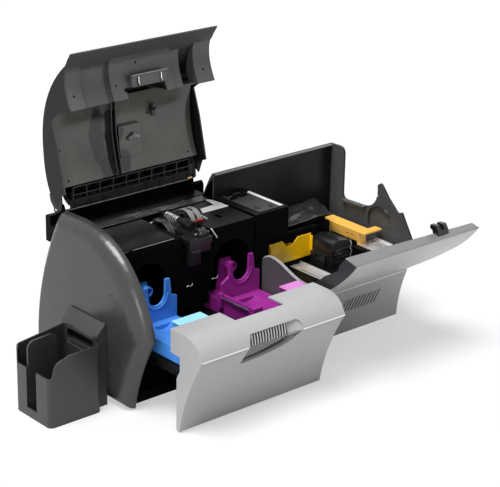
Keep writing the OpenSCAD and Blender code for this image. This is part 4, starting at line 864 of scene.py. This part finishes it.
# Painted highlight and shade: a pale bead along the crease for the light its top catches, and a dark strip
# under it for the shade below the brow
groove_shade_black = moulded_plastic("groove_painted_shade", grey(0.03), 0.5, grain=20, dust=0.05)
BEAD_LINE = ((-172.5, 145.4), (-172.8, 146.6), (-172.2, 147.8), (-170.5, 147.6), (-170.3, 145.4))
BROW_SHADE_LINE = ((-170.9, 143.9), (-171.3, 145.4), (-168.0, 145.4), (-168.0, 142.8))
for side, x in (("left", (3.4, 101.0)), ("right", (222.4, 317.8))):
    strip_along_x(f"drawer_bead_{side}", x, BEAD_LINE, bead_highlight_silver, "drawer",
                  0.0003)
    strip_along_x(f"drawer_brow_shade_{side}", x, BROW_SHADE_LINE, groove_shade_black, "drawer",
                  0.0002)

OPEN_BY = 114.0
CREASE_AT = 145.5
SOLVE_ROUNDS = 6
WAIST = ((0.0, 3.0), (-12.0, 72.5), (-56.0, 145.0))
BROW = ((-58.0, 146.0), (-52.5, 166.0), (-38.0, 181.0))


def face_y(z):
    """How far forward the front's skin stands at a height, drawer drawn out."""
    bend = WAIST if z < CREASE_AT else BROW
    rise = bend[2][1] - bend[0][1]
    share = (z - bend[0][1]) / rise
    for _ in range(SOLVE_ROUNDS):
        share += (z - bend_point(bend, share)[1]) / rise
    return bend_point(bend, share)[0] - OPEN_BY


# The pocket's blades lean with the mark that the hand sweeps, over a well in painted shade
BLADES, BLADE_STEPS = 14, 14
BLADE_FIRST = 108.0
BLADE_PITCH = 6.0
BLADE_WIDE = 2.1
BLADE_LEAN = 10.0
POCKET_TOP = 165.5
blade_shells = []
for blade in range(BLADES):
    foot_z = 121.0 + 0.20 * blade + 0.09 * blade * blade
    rings = []
    for step in range(BLADE_STEPS + 1):
        z = foot_z + (POCKET_TOP - foot_z) * step / BLADE_STEPS
        x = BLADE_FIRST + blade * BLADE_PITCH - BLADE_LEAN * max(0.0, 1 - (z - 114) / 51.0) ** 1.4
        near, deep = face_y(z) + 2.0, face_y(z) + 4.6
        rings.append([(x, near, z), (x + BLADE_WIDE, near + 0.5, z), (x + BLADE_WIDE, deep, z),
                      (x, deep, z)])
    blade_shells.append(rings)
blades = add_piece("handle_blades", loft(*blade_shells), silver, "drawer",
                   0.0005)
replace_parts(blades, "handle_grille")

# The bowl of the pocket sweeps up from the well to the skin, right and below
BOWL_LEFT, BOWL_WIDE = 187.0, 39.0
POCKET_STEPS, BOWL_STEPS, SILL_STEPS = 16, 12, 18
well_rings, bowl_rings, sill_rings = [], [], []
for step in range(POCKET_STEPS + 1):
    z = 110.0 + 57.0 * step / POCKET_STEPS
    y = face_y(z) + 4.4
    well_rings.append([(96.0, y, z), (BOWL_LEFT + 3, y, z), (BOWL_LEFT + 3, y + 1.6, z),
                       (96.0, y + 1.6, z)])
    shares = [k / BOWL_STEPS for k in range(BOWL_STEPS + 1)]
    ring = [(BOWL_LEFT + BOWL_WIDE * s, face_y(z) + 1.2 + 9.0 * (1 - s ** 1.6), z) for s in shares]
    bowl_rings.append(ring + [(x, y + 1.5, z) for x, y, z in reversed(ring)])
for step in range(SILL_STEPS + 1):
    share = step / SILL_STEPS
    x, z = 98.0 + 112.0 * share, 113.5 + 1.0 * share + 20.0 * share ** 2.4
    front = face_y(z) + 1.8
    sill_rings.append([(x, front - 0.9, z - 3.0), (x, front - 0.8, z + 0.6),
                       (x, front + 2.7, z + 4.6), (x, front + 3.6, z + 2.6)])
# Painted shade: the sill is a darker copy of the silver, for the shade on its downward slope
sill_shade_satin = moulded_plastic("sill_painted_shade", grey(0.15, 0.008), 0.36, pebble=1500, grain=6,
                             dust=0.01)
for name, rings, paint in (("handle_well", well_rings, vent_shade_black),
                           ("handle_bowl", bowl_rings, silver),
                           ("handle_sill", sill_rings, sill_shade_satin)):
    add_piece(name, loft(rings), paint, "drawer")

# ----------
# Ribbon trays and hubs: mouldings dyed blue on the feed side and magenta on the take up side, each with a
# cradle and a grip with a paler painted highlight on top. A steel rod guides the ribbon.
GRIP_DEEP, GRIP_HIGH = (-93.5, -60.5), (175.2, 177.6)
for dye, shade, highlight_tint, grip_x in (
        ("blue", (0.060, 0.24, 0.70, 1.0), (0.32, 0.68, 0.98, 1.0), (28.5, 89.5)),
        ("magenta", (0.27, 0.020, 0.23, 1.0), (0.60, 0.17, 0.54, 1.0), (264.5, 307.5))):
    dyed = moulded_plastic(f"{dye}_moulding", shade, 0.30, pebble=700, grain=8)
    finish(dyed, 0.0007, f"{dye}_tray", f"{dye}_hub")
    # Painted highlight: a paler bar on each grip's top stands for the light that falls on it
    grip_highlight = moulded_plastic(f"pale_{dye}_grip", highlight_tint, 0.24, pebble=700, grain=8)
    bar(f"{dye}_grip", grip_x, GRIP_DEEP, GRIP_HIGH, grip_highlight, "drawer", 0.0010)
finish(bright_steel, 0.0003, "guide_rod")

# ----------
# Top cover: a charcoal ABS shell with a rib grid at its root, lined along its free
# edge with grey pillars and bays. Its inner panel is a glossier dark moulding, and
# a hook, a sprung steel wing and the latch are clipped to them.
cover_shell = tinted_by_facing("cover_shell_moulding", grey(0.008, 0.01), grey(0.066, 0.01), -0.2,
                            -0.5, toward="Y", roughness=0.30, pebble=1100, grain=15, edge=0.0010,
                            shine=0.14)
finish(cover_shell, 0.0010, "top_cover")
lining = moulded_plastic("cover_lining_moulding", grey(0.069), 0.26, dust=0.03, drift=0.12)
finish(lining, 0.0007, "cover_liner")
latch_grey = moulded_plastic("latch_bar_moulding", grey(0.075, 0.02), 0.26, dust=0.03)
finish(latch_grey, 0.0005, "cover_latch_bar")

# Painted shade: ragged dark patches on the panel that stand for its dark reflections and shade
shade_patch, dial, result = start_group(
    "shade patch",
    {"Middle X": 0.0, "Middle Z": 0.4, "Half width": 0.02, "Half height": 0.02},
    {"Shade": "Float"})
spot = lay(shade_patch, "ShaderNodeTexCoord").outputs["Object"]
place = lay(shade_patch, "ShaderNodeSeparateXYZ", {"Vector": spot}).outputs
aside = reckon(shade_patch, "SUBTRACT", place["X"], dial["Middle X"])
upright = reckon(shade_patch, "SUBTRACT", place["Z"], dial["Middle Z"])
reach = lay(shade_patch, "ShaderNodeCombineXYZ",
            {"X": reckon(shade_patch, "DIVIDE", aside, dial["Half width"]),
             "Y": reckon(shade_patch, "DIVIDE", upright, dial["Half height"])})
away = lay(shade_patch, "ShaderNodeVectorMath", {0: reach.outputs["Vector"]}, operation="LENGTH")
ragged = lay(shade_patch, "ShaderNodeTexNoise", {"Vector": spot, "Scale": 60.0, "Detail": 3.0})
rough_edge = reckon(shade_patch, "MULTIPLY_ADD", ragged.outputs["Fac"], 0.9, away.outputs["Value"])
shade_patch.links.new(ranged(shade_patch, rough_edge, 1.55, 1.25), result["Shade"])

panel_gloss = moulded_plastic("cover_panel_gloss", (0.080, 0.078, 0.068, 1.0), 0.16, pebble=300,
                              grain=8, dust=0.03, drift=0.30, shine=0.6)
panel_tree = panel_gloss.node_tree
panel_base = panel_tree.nodes["Principled BSDF"].inputs["Base Color"]
for x, z, wide, high in ((0.130, 0.385, 0.011, 0.085), (0.100, 0.408, 0.017, 0.050),
                         (0.112, 0.345, 0.014, 0.030), (0.150, 0.352, 0.016, 0.022),
                         (0.135, 0.405, 0.018, 0.016), (0.128, 0.440, 0.014, 0.010)):
    patch = place_group(panel_tree, shade_patch, Middle_X=x - DATUM_X / MM, Middle_Z=z,
                        Half_width=wide, Half_height=high)
    darker = blend(panel_tree, patch.outputs["Shade"], panel_base.links[0].from_socket, grey(0.010))
    panel_tree.links.new(darker, panel_base)
finish(panel_gloss, 0.0006, "cover_panel")
finish(head_black, 0.0004, "cover_hook")
wing_steel = plated_metal("wing_spring_steel", (0.16, 0.16, 0.165, 1.0), 0.14, tarnish=0.5)
finish(wing_steel, 0.0004, "cover_wing")

cover_charcoal = moulded_plastic("cover_charcoal_moulding", grey(0.012, 0.01), 0.30, pebble=1100,
                                 grain=15, edge=0.0010, shine=0.2)
strip_along_x("cover_cheek_tail", (3.7, 6.0),
              [(247, 318), (244, 306), (236, 297), (220, 293), (212, 296), (210, 312), (212, 335)],
              cover_charcoal, "cover", 0.0006)
BEAM_X = (26, 292)
strip_along_x("cover_beam", BEAM_X,
              [(213.5, 309), (213, 299.5), (212.8, 294.6), (213.2, 292.8), (217, 292.2),
               (221, 309)], cover_charcoal, "cover", 0.0006)
beam_edge = moulded_plastic("beam_edge_moulding", grey(0.13), 0.25)
strip_along_x("cover_beam_edge", BEAM_X,
              [(211.2, 292.6), (211.0, 294.2), (213.0, 294.6), (214.0, 292.4)], beam_edge,
              "cover", 0.0003)
RIB_FIRST, RIB_PITCH, RIB_WIDE = 32.0, 31.2, 1.6
for rib in range(9):
    x = RIB_FIRST + rib * RIB_PITCH
    bar(f"beam_rib_{rib + 1}", (x, x + RIB_WIDE), (211.2, 215), (293.5, 308.5), cover_charcoal,
        "cover", 0.0003)

# Latch parts are measured on the shut cover, which has swung up 96.5 degrees
HINGE_Y, HINGE_Z = 235, 291
SWUNG_COS, SWUNG_SIN = -0.1132, 0.9936


def on_cover(x, y, z):
    """A place measured on the shut cover, as it stands when the cover is up."""
    y, z = y - HINGE_Y, z - HINGE_Z
    return (x, HINGE_Y + SWUNG_COS * y + SWUNG_SIN * z, HINGE_Z - SWUNG_SIN * y + SWUNG_COS * z)


LATCH_X = (135, 211)
# Painted highlight: the pale bar along the latch's free edge stands for the light that edge catches
for name, y, z, shade in (("latch_edge_highlight", (12.2, 14.0), (211.4, 213.4), 0.24),
                          ("latch_foot", (32.4, 33.6), (211.8, 213.2), 0.1)):
    rings = [[on_cover(a, b, c) for b, c in box_line(y, z)] for a in LATCH_X]
    paint = moulded_plastic(name + "_moulding", grey(shade), 0.2)
    add_piece(name, loft(rings), paint, "cover", 0.0004)
PRONG_BENDS = ((1, 17, 212.4), (0, 21, 210.6), (-1, 26, 210.0), (1, 30, 210.8), (2, 33, 212.6))
for number, prong_x in enumerate((148, 197), 1):
    wire(f"latch_prong_{number}", [on_cover(prong_x + x, y, z) for x, y, z in PRONG_BENDS], 0.0011,
         spring_steel, "cover")
brass = plated_metal("brass_tip", (0.62, 0.46, 0.20, 1.0), 0.22, tarnish=0.2)
TIP = ((0, 1.6), (0.6, 2.2), (6, 2.2), (6.4, 2.8), (9, 2.8), (9.6, 2.2), (9.6, 0.8))
turned("beam_tip", TIP, (282, 211.5, 296), (292, 211.5, 296), brass, "cover")

# ----------
# Output hopper: a charcoal ABS bin with a slotted front, moulded in one piece. It
# hangs on the end cap by its collar, where the finished cards drop in.
hopper_charcoal = moulded_plastic("hopper_charcoal_moulding", grey(0.027, 0.01), 0.34, pebble=1100,
                                  grain=20, dust=0.04, edge=0.0010)
finish(hopper_charcoal, 0.0012, "output_hopper", steps=3)

# ----------
# Rear connections: a black mains inlet and rocker, and plated data sockets, all
# snapped into openings of the rear shell.
finish(head_black, 0.0005, "power_inlet", "power_rocker")
finish(plated, 0.0004, "data_ports")

# ----------
# Inside, seen only with the covers off: a board under green solder mask, the
# supply in its plated box and the drive motor's can, all screwed to the pan.
solder_mask = moulded_plastic("green_solder_mask", (0.012, 0.085, 0.035, 1.0), 0.25, pebble=240,
                              grain=60, dust=0.1, drift=0.2)
finish(solder_mask, 0.0002, "main_board")
finish(plated, 0.0006, "power_supply")
finish(black_oxide, 0.0006, "drive_motor")
